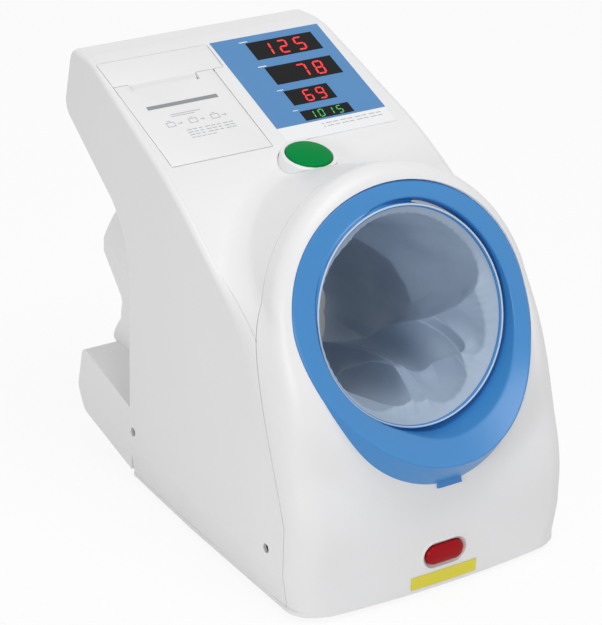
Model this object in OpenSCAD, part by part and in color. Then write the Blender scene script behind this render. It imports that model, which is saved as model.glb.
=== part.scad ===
// Arm-in blood pressure monitor. The arm goes through a slanted tunnel with a motor-wound cuff.
// Millimetres. The front faces -Y, the user's right is +X, and +Z is up. The table is at Z = 0.

/* [Casing] */
// Width across the widest part of the casing
case_width = 241; // [225:1:255]
// Height from the table to the flat top
case_height = 324; // [318:1:335]
// Depth from the lip of the ring to the back of the overhang
case_depth = 390; // [385:1:400]
// Thickness of the moulded covers
wall = 3; // [2:0.5:4]
// Height of the rubber feet
foot_height = 4; // [3:0.5:6]
// Radius of the upright front corners
corner_radius = 24; // [20:1:32]
// How far the front face bows forward in its middle
front_bow = 5; // [0:0.5:8]
// Lean of each side wall inwards ahead of the deck, in degrees
front_toe_in = 2.1; // [1:0.1:2.6]
// Lean of each side wall inwards beside the deck, in degrees
rear_toe_in = 4; // [3:0.1:4.4]
// Slope of the deck that carries the display, in degrees
deck_slope = 22.3; // [21:0.1:23.5]
// Slope of the shoulder beside the hood, in degrees
shoulder_slope = 33; // [32:0.5:34]
// Lean of the upper front face, in degrees
front_lean = 22.5; // [21.5:0.1:23.5]
// Width of the strip of deck that belongs to each side cover
cover_lap = 4.5; // [4:0.5:8]

/* [Arm tunnel] */
// Slope of the tunnel down towards the elbow, in degrees
tunnel_tilt = 20.8; // [20:0.1:21.6]
// How far the centre of the tunnel's mouth lies below the flat top
mouth_drop = 126.6; // [124:0.2:129]
// Radius of the mouth inside the ring
mouth_radius = 77.2; // [74:0.2:79]
// Outer radius of the hood round the mouth
hood_radius = 110.5; // [110:0.5:114]
// Thickness of the tunnel tube
tube_wall = 3; // [2:0.5:3.5]
// Mean radius of the ring's rim
rim_radius = 100.2; // [98:0.2:102]
// How far the ring's lower lip reaches out ahead of the front face
lip_reach = 17; // [14:0.5:19]
// Thickness of the cuff cloth
cloth_thickness = 2; // [1.5:0.1:2.5]

/* [Buttons] */
// Radius of the green start button
start_radius = 18.2; // [16:0.2:20]
// Travel of the start button
start_travel = 2.5; // [2:0.1:3]
// Length of the red stop button
stop_length = 33; // [28:0.5:38]
// Height of the red stop button
stop_height = 15; // [12:0.5:16]
// Travel of the stop button
stop_travel = 2; // [1.5:0.1:2.5]
// Gap round each moving button
button_gap = 0.5; // [0.4:0.05:0.8]

/* [Display] */
// Width of the blue display overlay
panel_width = 98.6; // [96:0.2:100]
// Length of the blue display overlay up the deck
panel_length = 103.2; // [101:0.2:105]
// Thickness of the overlay
panel_thickness = 1.5; // [1:0.1:2]

/* [Printer] */
// Width of the paper roll
paper_width = 57.5; // [56:0.5:58]
// Radius of the paper roll
paper_radius = 20; // [14:0.5:20.5]
// Radius of the rubber platen roller
platen_radius = 5; // [4:0.1:5.4]
// Thickness of the printer door
door_thickness = 2.5; // [2:0.1:3]
// Gap round the printer door
door_gap = 0.5; // [0.4:0.05:0.8]

/* [Hidden] */
touch = 0.01;
far = 2 * case_depth;
running_gap = 0.05;
free_gap = 0.3;
screw_radius = 1.5;
head_radius = 3.2;
mouth_setback = 51;
overhang = 109.5;
front_y = lip_reach - case_depth / 2;
mouth_y = front_y + mouth_setback;
mouth_height = case_height - mouth_drop;
back_y = case_depth / 2;
rear_wall_y = back_y - overhang;
knee_z = 77;
shell_top = case_height + 20;
side_x = case_width / 2;
corner_y = front_y + front_bow + corner_radius;
bend_y = corner_y + 135;
core_front_y = front_y + 58;
shoulder_foot_y = front_y + 81;
shoulder_foot_z = mouth_height - 1.4;
deck_y = back_y - 149.3;
deck_z = case_height - 41.4;
top_edge_y = deck_y + (case_height - deck_z) / tan(deck_slope);
shoulder_top_y = (deck_z - deck_y * tan(deck_slope) - shoulder_foot_z + shoulder_foot_y * tan(shoulder_slope))
    / (tan(shoulder_slope) - tan(deck_slope));
shoulder_top_z = deck_z + (shoulder_top_y - deck_y) * tan(deck_slope);
crest_radius = 10;
crest_y = back_y - 20;
crest_z = case_height - crest_radius;
heel_radius = 12;
heel_y = back_y - heel_radius;
heel_z = case_height - 47;
back_span = norm([heel_y - crest_y, heel_z - crest_z]);
back_angle = atan2(heel_z - crest_z, heel_y - crest_y) + acos((crest_radius - heel_radius) / back_span);
underside_slope = 30;
underside_y = heel_y + heel_radius * sin(underside_slope);
underside_z = heel_z - heel_radius * cos(underside_slope);
throat_y = rear_wall_y + 22.5;
throat_z = underside_z - (underside_y - throat_y) * tan(underside_slope);
arc_steps = 6;

tube_inner = mouth_radius + 2.8;
tube_outer = tube_inner + tube_wall;
tube_length = 220;
tube_start = 8;
spigot_radius = mouth_radius + 8.8;
opening_radius = spigot_radius + free_gap;
parting_depth = 24;
parting_y = front_y + 29;
face_level = 1;
face_tilt = front_lean - tunnel_tilt;
rim_lift = 8.7;
rim_roll = 0.4;
lip_r = rim_radius + 3.3 + 1.1 + 2.2;
lip_h = rim_roll + (lip_reach + mouth_setback - lip_r * sin(tunnel_tilt)) / cos(tunnel_tilt);
lip_swing = lip_h - rim_lift - 5.9 - 0.7;
ring_steps = 60;
spigot_depth = 8;
collar_wall = 4;
collar_width = 168;
collar_rise = 26;
collar_radius = 92;
exit_z = mouth_height - (rear_wall_y - mouth_y) * tan(tunnel_tilt);
collar_y = rear_wall_y + 50;
collar_z = exit_z - 2.7;
rest_setback = 2.5;
rest_back_y = rear_wall_y + 84;
rest_wall = 3;
trough_radius = tube_inner;
trough_rise = 5;
trough_floor = exit_z - 85.7;
rest_top = exit_z - 33.7;
pad_thickness = 4;

start_y = deck_y - 38.2;
start_z = deck_z - 5.5;
start_tilt = 12.2;
start_collar_radius = start_radius + 4.3;
start_cap = 8;
start_stem_radius = 5;
stop_z = 31;
stop_x = 0;
label_z = stop_z - 18.5;
label_length = 58;
label_height = 10.5;

panel_left = -3.5;
strip_length = 16;
window_left = 24;
bay_left = wall + 1.2 - half_width(deck_y + 115);
bay_right = -6.8;
bay_front = -15.2;
door_left = 2.4 - half_width(deck_y + 95);
door_right = -16.4;
bay_seam = 76;
bay_depth = 50;
rib = 2;
hinge_radius = 2;
hinge_along = bay_front + hinge_radius;
pin_radius = 1;
paper_gap = 0.9;
hinge_ears = [door_left + 4, door_right - 6];
paper_x = -60.5;
platen_x = paper_x;
platen_along = 68;
platen_down = 11;
roll_along = 26;
roll_down = 25;
platen_span = 62;
gear_x = -27;
gear_width = 4;
axle_radius = 1.5;
platen_teeth = 20;
motor_teeth = 10;
gear_module = 0.7;
gear_offset = gear_module * (platen_teeth + motor_teeth) / 2;
drum_drop = 108;
drum_depth = 80;
drum_length = 56;
drum_teeth = 32;
winder_teeth = 12;
winder_module = 1.1;
winder_offset = winder_module * (drum_teeth + winder_teeth) / 2;
paint_white = [0.93, 0.93, 0.93];
paint_blue = [0.33, 0.56, 0.80];
paint_dark = [0.12, 0.12, 0.13];
paint_metal = [0.72, 0.73, 0.75];
paint_board = [0.1, 0.4, 0.2];

// Outlines

function unit(v) = v / norm(v);

function arc(middle, r, from, to, steps) =
    [for (i = [0 : steps]) middle + r * [cos(from + (to - from) * i / steps), sin(from + (to - from) * i / steps)]];

// A rounded corner at b on the way from a to c
function corner(a, b, c, r) =
    let (u = unit(a - b), w = unit(c - b), half = acos(u * w) / 2, middle = b + unit(u + w) * r / sin(half))
    let (p = b + u * r / tan(half), q = b + w * r / tan(half))
    let (from = atan2(p.y - middle.y, p.x - middle.x), raw = atan2(q.y - middle.y, q.x - middle.x) - from)
    arc(middle, r, from, from + (raw > 180 ? raw - 360 : raw < -180 ? raw + 360 : raw), arc_steps);

// The same outline with every side moved inwards, for one that runs clockwise
function inset(p, by) =
    [for (i = [0 : len(p) - 1])
        let (u = unit(p[i] - p[(i + len(p) - 1) % len(p)]), w = unit(p[(i + 1) % len(p)] - p[i]))
        let (m = [u.y, -u.x], n = [w.y, -w.x])
        p[i] + by * (m + n) / (1 + m * n)];

// The casing seen from its left side, as [y, z], clockwise
function side_outline() =
    let (foot = [shoulder_foot_y, shoulder_foot_z], brow = [shoulder_top_y, shoulder_top_z])
    let (edge = [top_edge_y, case_height], under = [underside_y, underside_z])
    let (throat = [throat_y, throat_z], nape = [rear_wall_y, throat_z - 25])
    concat(
        [[rear_wall_y, foot_height], [core_front_y, foot_height], [core_front_y, knee_z + 60], foot],
        corner(foot, brow, edge, 60),
        corner(brow, edge, [crest_y, case_height], 40),
        arc([crest_y, crest_z], crest_radius, 90, back_angle, arc_steps),
        arc([heel_y, heel_z], heel_radius, back_angle, underside_slope - 90, arc_steps),
        corner(under, throat, nape, 15),
        corner(throat, nape, [rear_wall_y, foot_height], 15));

// Half the casing's width at y
function half_width(y) =
    y < bend_y ? side_x - (y - corner_y) * tan(front_toe_in)
        : side_x - (bend_y - corner_y) * tan(front_toe_in) - (y - bend_y) * tan(rear_toe_in);

// The side walls run on past the front, as [x, y], clockwise
function wedge() =
    let (ends = [for (y = [front_y - 20, bend_y, back_y + 20]) [half_width(y), y]])
    concat([for (p = ends) [-p.x, p.y]], [for (i = [2 : -1 : 0]) ends[i]]);

// The casing seen from above, as [x, y], clockwise
function half_plan() =
    let (bow_x = side_x - corner_radius, turn = atan(2 * front_bow / bow_x))
    concat(
        [for (i = [0 : 8]) [bow_x * i / 8, front_y + front_bow * pow(i / 8, 2)]],
        arc([bow_x, corner_y], corner_radius, turn - 84, -front_toe_in, 10),
        [[half_width(bend_y), bend_y], [half_width(back_y + 20), back_y + 20]]);

function plan() =
    let (half = half_plan(), n = len(half))
    concat([for (p = half) [-p.x, p.y]], [for (i = [n - 1 : -1 : 1]) half[i]]);

module sideways(points, width = far) {
    rotate([90, 0, 90])
        linear_extrude(width, center = true)
            polygon(points);
}

// Places its children in the tunnel's frame: local Z points out of the mouth and local Y up
module in_tunnel() {
    translate([0, mouth_y, mouth_height])
        rotate([90 - tunnel_tilt, 0, 0])
            children();
}

// Places its children on the deck: local Y runs up the slope and local Z stands out of it
module on_deck(x = 0, along = 0, out = 0) {
    translate([0, deck_y, deck_z])
        rotate([deck_slope, 0, 0])
            translate([x, along, out])
                children();
}

module at_start() {
    translate([0, start_y, start_z])
        rotate([start_tilt, 0, 0])
            children();
}

// Places its children on the lower front face: local Z points forward
module at_stop(z) {
    translate([stop_x, front_y, z])
        rotate([90, 0, 0])
            children();
}

// Places its children on the back of the overhang: local Z points out, local Y down
module on_back(x) {
    translate([x, (crest_y + heel_y) / 2, (crest_z + heel_z) / 2])
        rotate([back_angle - 90, 0, 0])
            translate([0, 0, (crest_radius + heel_radius) / 2])
                children();
}

module block(size, at) {
    translate([at.x - size.x / 2, at.y - size.y / 2, at.z - size.z / 2])
        cube(size);
}

module oval(length, height, depth) {
    linear_extrude(depth)
        union() {
            square([length - height, height], center = true);
            for (s = [-1, 1])
                translate([s * (length - height) / 2, 0])
                    circle(d = height, $fn = 40);
        }
}

module ring(outer, inner, length) {
    difference() {
        cylinder(r = outer, h = length, $fn = 90);
        translate([0, 0, -1])
            cylinder(r = inner, h = length + 2, $fn = 90);
    }
}

// Outline of a spur gear with straight-sided teeth and backlash
function gear_outline(teeth, size) =
    let (pitch = size * teeth / 2)
    [for (i = [0 : teeth - 1], p = [[pitch - 1.15 * size, -0.9 * size], [pitch, -0.62 * size],
            [pitch + 0.85 * size, -0.3 * size], [pitch + 0.85 * size, 0.3 * size], [pitch, 0.62 * size],
            [pitch - 1.15 * size, 0.9 * size]])
        let (a = 360 * i / teeth)
        [p.x * cos(a) - p.y * sin(a), p.x * sin(a) + p.y * cos(a)]];

module gear(teeth, size, width, bore) {
    difference() {
        linear_extrude(width)
            polygon(gear_outline(teeth, size));
        translate([0, 0, -1])
            cylinder(r = bore, h = width + 2, $fn = 30);
    }
}

// A close-wound stand-in for a coil spring
module spring_sleeve(r, wire, length) {
    ring(r, r - wire, length);
}

// Covers

module casing(by) {
    intersection() {
        sideways(inset(side_outline(), by));
        linear_extrude(shell_top)
            polygon(inset(plan(), by));
    }
    intersection() {
        union() {
            linear_extrude(knee_z)
                polygon(inset(plan(), by));
            translate([0, front_y, knee_z])
                rotate([-front_lean, 0, 0])
                    translate([0, -front_y, 0])
                        linear_extrude(190)
                            polygon(inset(plan(), by));
        }
        sideways(front_zone(by));
        linear_extrude(shell_top)
            polygon(inset(wedge(), by));
    }
    in_tunnel()
        rotate([-face_tilt, 0, 0])
            translate([0, 0, -150 - by])
                cylinder(r = hood_radius - by, h = 150 + face_level, $fn = 180);
}

// The front of the casing below the shoulder's slope, as [y, z]
function front_zone(by) =
    let (back = core_front_y + 20, drop = tan(shoulder_slope), low = by / cos(shoulder_slope))
    [[back, foot_height], [front_y - 10, foot_height],
        [front_y - 10, shoulder_foot_z - low + (front_y - 10 - shoulder_foot_y) * drop],
        [back, shoulder_foot_z - low + (back - shoulder_foot_y) * drop]];

module shell() {
    difference() {
        casing(0);
        casing(wall);
        block([far, far, far], [0, 0, foot_height - far / 2 + touch]);
        linear_extrude(foot_height + wall)
            polygon(inset(plan(), wall));
    }
}

// Everything ahead of the seam between the front cover and the rest
module front_side() {
    in_tunnel()
        translate([-far / 2, -far / 2, -parting_depth])
            cube([far, far, far]);
    translate([-far / 2, parting_y - far, 0])
        cube([far, far, knee_z + 12]);
}

module between_sides(by) {
    linear_extrude(shell_top)
        polygon(inset(plan(), by));
}

module top_side() {
    top_y = crest_y - 17;
    sideways([[parting_y - far, mouth_height - 97], [parting_y, mouth_height - 97], [top_y, crest_z - 24],
        [top_y, far], [parting_y - far, far]]);
}

module tunnel_bore(r) {
    in_tunnel()
        translate([0, 0, -far / 2])
            cylinder(r = r, h = far, $fn = 90);
}

// The hole in the deck that the printer's door and top plate fill
module bay_hole() {
    on_deck(door_left - door_gap, bay_front - door_gap, -20)
        cube([door_right - door_left + 2 * door_gap, bay_seam - bay_front + door_gap, 60]);
    on_deck(door_left - door_gap, bay_seam - 1, -20)
        cube([bay_right - door_left + 2 * door_gap, panel_length - bay_seam + 1 + door_gap, 60]);
}

module front_cover() {
    color(paint_white)
        difference() {
            intersection() {
                shell();
                front_side();
            }
            tunnel_bore(opening_radius);
            at_stop(stop_z)
                translate([0, 0, -30])
                    oval(stop_length + 9, stop_height + 9, 60);
        }
}

module side_cover() {
    color(paint_white)
        difference() {
            shell();
            front_side();
            between_sides(cover_lap);
            translate([-far, -far / 2, -far / 2])
                cube([far, far, far]);
            for (y = [parting_y + 22, rear_wall_y - 9])
                translate([side_x - 30, y, foot_height + 41])
                    rotate([0, 90, 0])
                        cylinder(r = head_radius, h = 60, $fn = 30);
        }
}

module left_side_cover() {
    color(paint_white)
        difference() {
            mirror([1, 0, 0])
                side_cover();
            bay_hole();
        }
}

module right_side_cover() {
    side_cover();
}

module middle_shell() {
    intersection() {
        difference() {
            shell();
            front_side();
        }
        between_sides(cover_lap);
    }
}

module top_cover() {
    color(paint_white)
        difference() {
            intersection() {
                middle_shell();
                top_side();
            }
            at_start()
                translate([0, 0, -40])
                    cylinder(r = start_collar_radius, h = 60, $fn = 60);
            bay_hole();
            on_deck(panel_left, -strip_length, -panel_thickness)
                cube([panel_width, panel_length + strip_length, 20]);
            on_deck(panel_left + 20, -2, -20)
                cube([panel_width - 26, panel_length - 4, 60]);
        }
}

module rear_cover() {
    color(paint_white)
        difference() {
            middle_shell();
            top_side();
            tunnel_bore(tube_outer);
            collar_sleeve();
            translate([-far / 2, rear_wall_y - 45 - far, 0])
                cube([far, far, far]);
            on_back(-62)
                block([28, 21, 40], [0, 0, 0]);
            on_back(-24)
                block([15, 21, 40], [0, 0, 0]);
            for (x = [30, 64])
                on_back(x)
                    block([26, 11, 40], [0, 0, 0]);
        }
}

module base_tray() {
    color(paint_white) {
        difference() {
            translate([0, 0, foot_height])
                linear_extrude(wall)
                    polygon(inset(plan(), wall));
            translate([-far / 2, rear_wall_y - wall, 0])
                cube([far, far, far]);
        }
        for (x = [-1, 1], y = [front_y + 60, rear_wall_y - 30])
            translate([x * 78, y, foot_height + wall])
                ring(6, screw_radius, 14);
    }
}

module rubber_feet() {
    color(paint_dark)
        for (x = [-1, 1], y = [front_y + 42, rear_wall_y - 22])
            translate([x * 86, y, 0])
                cylinder(r = 9, h = foot_height, $fn = 40);
}

module cover_screws() {
    color(paint_metal)
        for (x = [-1, 1], y = [parting_y + 22, rear_wall_y - 9])
            translate([x * (half_width(y) - wall - 2.5), y, foot_height + 41])
                rotate([0, x * 90, 0])
                    union() {
                        cylinder(r = head_radius - 0.2, h = 2, $fn = 30);
                        translate([0, 0, -8])
                            cylinder(r = screw_radius, h = 8.5, $fn = 24);
                    }
}

// Rear of the tunnel

function rest_outline() =
    let (y = rear_wall_y, foot = foot_height + 4)
    let (low = [rest_back_y - 10, trough_floor - 3], back = [rest_back_y, trough_floor + 15])
    let (top = [rest_back_y - 8, rest_top])
    concat(
        [[y, rest_top - 22], [y + 4, rest_top - 22]],
        corner([y + 4, rest_top - 22], top, back, 6),
        corner(top, back, low, 8),
        corner(back, low, [y, foot], 12),
        [[y, foot]]);

// The cheeks of the elbow trough, as [y, z]
function cheek_outline() =
    let (y = rear_wall_y, z = exit_z)
    [[y, trough_floor + 9], [y, z + 9], [y + 52, z + 9], [y + 54, z - 6], [y + 81, z - 35],
        [y + 81, trough_floor + 19]];

// Hollow for the elbow, running straight back and rising a little
module elbow_trough(r) {
    translate([0, rear_wall_y - 20, trough_floor + trough_radius])
        rotate([trough_rise - 90, 0, 0])
            cylinder(r = r, h = 160, $fn = 90);
}

module elbow_rest() {
    color(paint_white)
        difference() {
            union() {
                sideways(rest_outline(), 2 * (half_width(rear_wall_y) - rest_setback));
                intersection() {
                    elbow_trough(trough_radius + rest_wall + 1);
                    sideways(cheek_outline());
                }
            }
            difference() {
                sideways(inset(rest_outline(), rest_wall), 2 * (half_width(rear_wall_y) - rest_setback - rest_wall));
                elbow_trough(trough_radius + rest_wall);
            }
            elbow_trough(trough_radius);
            rear_arch(0);
            in_tunnel()
                translate([0, 0, -tube_start - tube_length - free_gap])
                    cylinder(r = tube_outer + free_gap, h = tube_length, $fn = 90);
        }
}

module elbow_pad() {
    color(paint_blue)
        intersection() {
            difference() {
                elbow_trough(trough_radius);
                elbow_trough(trough_radius - pad_thickness);
            }
            sideways([[rear_wall_y + 5, foot_height], [rear_wall_y + 5, trough_floor + 27],
                [rear_wall_y + 70, trough_floor + 27], [rear_wall_y + 70, foot_height]]);
        }
}

// The shroud over the arm's way out, as [y, z]
function arch_outline() =
    let (y = rear_wall_y, z = exit_z)
    [[y, z + 9.3], [y, z + 123], [y + 66, z + 123], [y + 79, z + 75], [y + 80, z + 42], [y + 53, z + 13],
        [y + 52, z + 9.3]];

module rear_arch(by) {
    intersection() {
        sideways(arch_outline(), collar_width - 2 * by);
        translate([0, collar_y, collar_z])
            rotate([collar_rise - 90, 0, 0])
                cylinder(r = collar_radius - by, h = 200, center = true, $fn = 90);
    }
}

// The collar's sleeve over the end of the tube
module collar_sleeve() {
    intersection() {
        tunnel_bore(tube_outer + collar_wall);
        translate([-collar_width / 2, rear_wall_y, exit_z + 9.3])
            cube([collar_width, 24, far]);
    }
}

module rear_collar() {
    color(paint_white)
        difference() {
            union() {
                rear_arch(0);
                collar_sleeve();
            }
            intersection() {
                translate([0, collar_y, collar_z])
                    rotate([collar_rise - 90, 0, 0])
                        cylinder(r = collar_radius - collar_wall, h = 260, center = true, $fn = 90);
                translate([collar_wall - collar_width / 2, rear_wall_y - 10, 0])
                    cube([collar_width - 2 * collar_wall, far, far]);
            }
            tunnel_bore(tube_outer);
        }
}

// Ring, tube and cuff

function rim_r(a) =
    rim_radius - 3.3 * sin(a) - 1.1 * cos(2 * a) + 2.2 * sin(3 * a);

function rim_h(a) =
    rim_lift - lip_swing * sin(a) - 5.9 * cos(2 * a) + 0.7 * sin(3 * a);

function face_h(r, a) =
    face_level - r * sin(a) * tan(face_tilt) + 0.2;

// Section of the ring at angle a, as [radius, height], from the spigot round to the face
function ring_section(a) =
    let (r = rim_r(a), h = rim_h(a), seat = face_h(r, a), foot = r + 0.8 + max(0, h - seat) * 0.12)
    [[mouth_radius, -spigot_depth], [mouth_radius, -1.5], [mouth_radius + 1, 0.6], [mouth_radius + 3.5, h * 0.12 + 1],
        [r - 6, h - 1], [r - 2, h], [r, h - rim_roll], [r + 0.7, h - 2.2], [foot, seat],
        [spigot_radius, face_h(spigot_radius, a)], [spigot_radius, -spigot_depth]];

module cuff_ring() {
    rows = [for (i = [0 : ring_steps - 1]) ring_section(360 * i / ring_steps)];
    n = len(rows[0]);
    points = [for (i = [0 : ring_steps - 1], p = rows[i])
        [p.x * cos(360 * i / ring_steps), p.x * sin(360 * i / ring_steps), p.y]];
    faces = [for (i = [0 : ring_steps - 1], j = [0 : n - 1])
        [i * n + j, i * n + (j + 1) % n, ((i + 1) % ring_steps) * n + (j + 1) % n, ((i + 1) % ring_steps) * n + j]];
    color(paint_blue)
        in_tunnel()
            polyhedron(points = points, faces = faces);
}

module ring_catch() {
    color(paint_blue)
        translate([0, front_y, knee_z])
            rotate([-front_lean, 0, 0])
                translate([-10, -6, 8])
                    cube([20, 6, 11]);
}

module tunnel_tube() {
    color(paint_metal)
        in_tunnel()
            translate([0, 0, -tube_start - tube_length])
                ring(tube_outer, tube_inner, tube_length);
}

module cloth_hoop() {
    color(paint_white)
        in_tunnel()
            translate([0, 0, -2.5])
                ring(mouth_radius - 0.1, mouth_radius - 1.8, 2.2);
}

// Clear radius inside the cuff cloth at angle a and depth share t, with its two main folds
function cloth_r(a, t) =
    mouth_radius - 1.8 - cloth_thickness - 9 * sin(180 * t)
    - 17 * sin(180 * min(1, t * 1.3)) * exp(-pow((a - 262 + 50 * t) / 17, 2))
    - 12 * sin(180 * min(1, t * 1.3)) * exp(-pow((a - 335 + 75 * t) / 15, 2));

module cuff_cloth() {
    around = 48;
    deep = 10;
    length = tube_length - 8;
    level = 2 * around;
    points = [for (j = [0 : deep], i = [0 : around - 1], side = [0, 1])
        let (a = 360 * i / around, t = j / deep, r = cloth_r(a, t) + side * cloth_thickness)
        [r * cos(a), r * sin(a), -2.6 - length * t]];
    inner = [for (j = [0 : deep - 1], i = [0 : around - 1]) let (k = (i + 1) % around)
        [j * level + 2 * i, (j + 1) * level + 2 * i, (j + 1) * level + 2 * k, j * level + 2 * k]];
    outer = [for (j = [0 : deep - 1], i = [0 : around - 1]) let (k = (i + 1) % around)
        [j * level + 2 * k + 1, (j + 1) * level + 2 * k + 1, (j + 1) * level + 2 * i + 1, j * level + 2 * i + 1]];
    front = [for (i = [0 : around - 1]) let (k = (i + 1) % around)
        [2 * i, 2 * k, 2 * k + 1, 2 * i + 1]];
    end = [for (i = [0 : around - 1]) let (k = (i + 1) % around, base = deep * level)
        [base + 2 * k, base + 2 * i, base + 2 * i + 1, base + 2 * k + 1]];
    color([0.62, 0.68, 0.74])
        in_tunnel()
            polyhedron(points = points, faces = concat(inner, outer, front, end));
}

module air_bladder() {
    color(paint_dark)
        in_tunnel()
            translate([0, 0, -tube_start - tube_length + 34])
                ring(tube_inner - free_gap, mouth_radius - 3.5, tube_length - 68);
}

// Cuff winder, below the tunnel

module winding_drum() {
    color(paint_metal)
        in_tunnel()
            translate([0, -drum_drop, -drum_depth - drum_length / 2])
                difference() {
                    union() {
                        cylinder(r = 9, h = drum_length, $fn = 40);
                        translate([0, 0, -5])
                            gear(drum_teeth, winder_module, 5, 3);
                        translate([0, 0, drum_length - 2])
                            cylinder(r = 13, h = 2, $fn = 40);
                    }
                    translate([0, 0, -10])
                        cylinder(r = 3, h = drum_length + 20, $fn = 30);
                }
}

module drum_bracket() {
    color(paint_metal)
        in_tunnel()
            difference() {
                union() {
                    translate([0, -drum_drop, -drum_depth - drum_length / 2 - 12])
                        cylinder(r = 3 - running_gap, h = drum_length + 24, $fn = 30);
                    for (s = [-1, 1])
                        translate([-8, -drum_drop - 6, -drum_depth + s * (drum_length / 2 + 10) - 2])
                            cube([16, 50, 4]);
                    translate([-winder_offset - 11, -drum_drop - 11, -drum_depth - drum_length / 2 + 1])
                        cube([22, 60, 4]);
                }
                translate([-winder_offset, -drum_drop, -drum_depth - drum_length / 2])
                    cylinder(r = 2 + free_gap, h = 10, $fn = 24);
                translate([0, 0, -far / 2])
                    cylinder(r = tube_outer, h = far, $fn = 90);
            }
}

module winding_pinion() {
    color(paint_metal)
        in_tunnel()
            translate([-winder_offset, -drum_drop, -drum_depth - drum_length / 2 - 5])
                union() {
                    rotate(180 / winder_teeth)
                        gear(winder_teeth, winder_module, 5, 2);
                    translate([0, 0, -2])
                        cylinder(r = 2, h = 11.6, $fn = 24);
                }
}

module winding_motor() {
    color(paint_metal)
        in_tunnel()
            translate([-winder_offset, -drum_drop, -drum_depth - drum_length / 2 + 5])
                cylinder(r = 11, h = 42, $fn = 48);
}

// Start button

module start_collar() {
    color(paint_white)
        at_start()
            difference() {
                translate([0, 0, -31])
                    cylinder(r = start_collar_radius, h = 29, $fn = 60);
                translate([0, 0, -18])
                    cylinder(r = start_radius + button_gap, h = 40, $fn = 60);
                translate([0, 0, -40])
                    cylinder(r = start_stem_radius + button_gap, h = 40, $fn = 40);
                switch_socket(13, 13, 6, -26 - start_travel);
            }
}

// The space of a switch whose plunger face sits just clear of the stem's travel
module switch_socket(width, length, height, stem_end) {
    block([width, length, height], [0, 0, stem_end - free_gap - height / 2]);
}

module start_button() {
    color([0.05, 0.6, 0.32])
        at_start()
            union() {
                intersection() {
                    translate([0, 0, -start_cap])
                        cylinder(r = start_radius, h = start_cap, $fn = 60);
                    translate([0, 0, -110])
                        sphere(r = 110, $fn = 120);
                }
                translate([0, 0, -26])
                    cylinder(r = start_stem_radius, h = 26 - start_cap + 1, $fn = 40);
            }
}

module start_spring() {
    color(paint_metal)
        at_start()
            translate([0, 0, -18])
                spring_sleeve(start_stem_radius + 2.5, 1.2, 18 - start_cap);
}

module start_switch() {
    color(paint_dark)
        at_start()
            switch_socket(13, 13, 6, -26 - start_travel);
}

// Stop button

module stop_bezel() {
    color(paint_white)
        at_stop(stop_z)
            difference() {
                translate([0, 0, -17])
                    oval(stop_length + 9, stop_height + 9, 17 + 0.4);
                translate([0, 0, -6])
                    oval(stop_length + 2 * button_gap, stop_height + 2 * button_gap, 20);
                translate([0, 0, -1.6])
                    oval(stop_length + 5, stop_height + 5, 20);
                translate([0, 0, -30])
                    cylinder(r = 3 + button_gap, h = 40, $fn = 30);
                switch_socket(12, 10, 7, -11 - stop_travel);
            }
}

module stop_button() {
    color([0.7, 0.05, 0.08])
        at_stop(stop_z)
            union() {
                translate([0, 0, -3])
                    oval(stop_length, stop_height, 4.5);
                translate([0, 0, -11])
                    cylinder(r = 3, h = 9, $fn = 30);
            }
}

module stop_switch() {
    color(paint_dark)
        at_stop(stop_z)
            switch_socket(12, 10, 7, -11 - stop_travel);
}

module stop_label() {
    color([0.9, 0.85, 0.2])
        at_stop(label_z)
            translate([-label_length / 2, -label_height / 2, 0])
                cube([label_length, label_height, 0.6]);
}

// Display

// Each window: [left, front, width, length] on the deck
window_list = [[window_left, 75, 60.5, 20.8], [window_left, 45, 60.5, 21], [window_left, 20, 39.5, 17.3],
    [window_left, 2, 44, 11]];

module window(i) {
    spot = window_list[i];
    color(paint_dark)
        on_deck(spot[0], spot[1], -panel_thickness - 1)
            cube([spot[2], spot[3], panel_thickness + 1.2]);
}

module display_panel() {
    color(paint_blue)
        difference() {
            on_deck(panel_left, 0, -panel_thickness)
                cube([panel_width, panel_length, panel_thickness + 0.3]);
            for (spot = window_list)
                on_deck(spot[0], spot[1], -10)
                    cube([spot[2], spot[3], 20]);
        }
}

module caption_strip() {
    color(paint_white)
        difference() {
            on_deck(panel_left, -strip_length, -panel_thickness)
                cube([panel_width, strip_length, panel_thickness + 0.3]);
            at_start()
                translate([0, 0, -40])
                    cylinder(r = start_collar_radius, h = 80, $fn = 60);
        }
}

module systolic_window() {
    window(0);
}

module diastolic_window() {
    window(1);
}

module pulse_window() {
    window(2);
}

module clock_window() {
    window(3);
}

module display_board() {
    color(paint_board)
        union() {
            on_deck(panel_left + 21, 1, -9)
                cube([panel_width - 28, panel_length - 10, 1.6]);
            for (spot = window_list)
                on_deck(spot[0] + 1.5, spot[1] + 1, -7.4)
                    cube([spot[2] - 3, spot[3] - 2, 7.4 - panel_thickness - 1.2]);
        }
}

// Printer

module printer_top_plate() {
    color(paint_white)
        difference() {
            on_deck(door_left, bay_seam + door_gap, -door_thickness)
                cube([bay_right - door_left, panel_length - bay_seam - door_gap, door_thickness]);
            paper_slot();
        }
}

module paper_slot() {
    on_deck(paper_x - paper_width / 2 - 1, bay_seam - 3, -door_thickness - 1)
        cube([paper_width + 2, 6, door_thickness + 3]);
}

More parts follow.
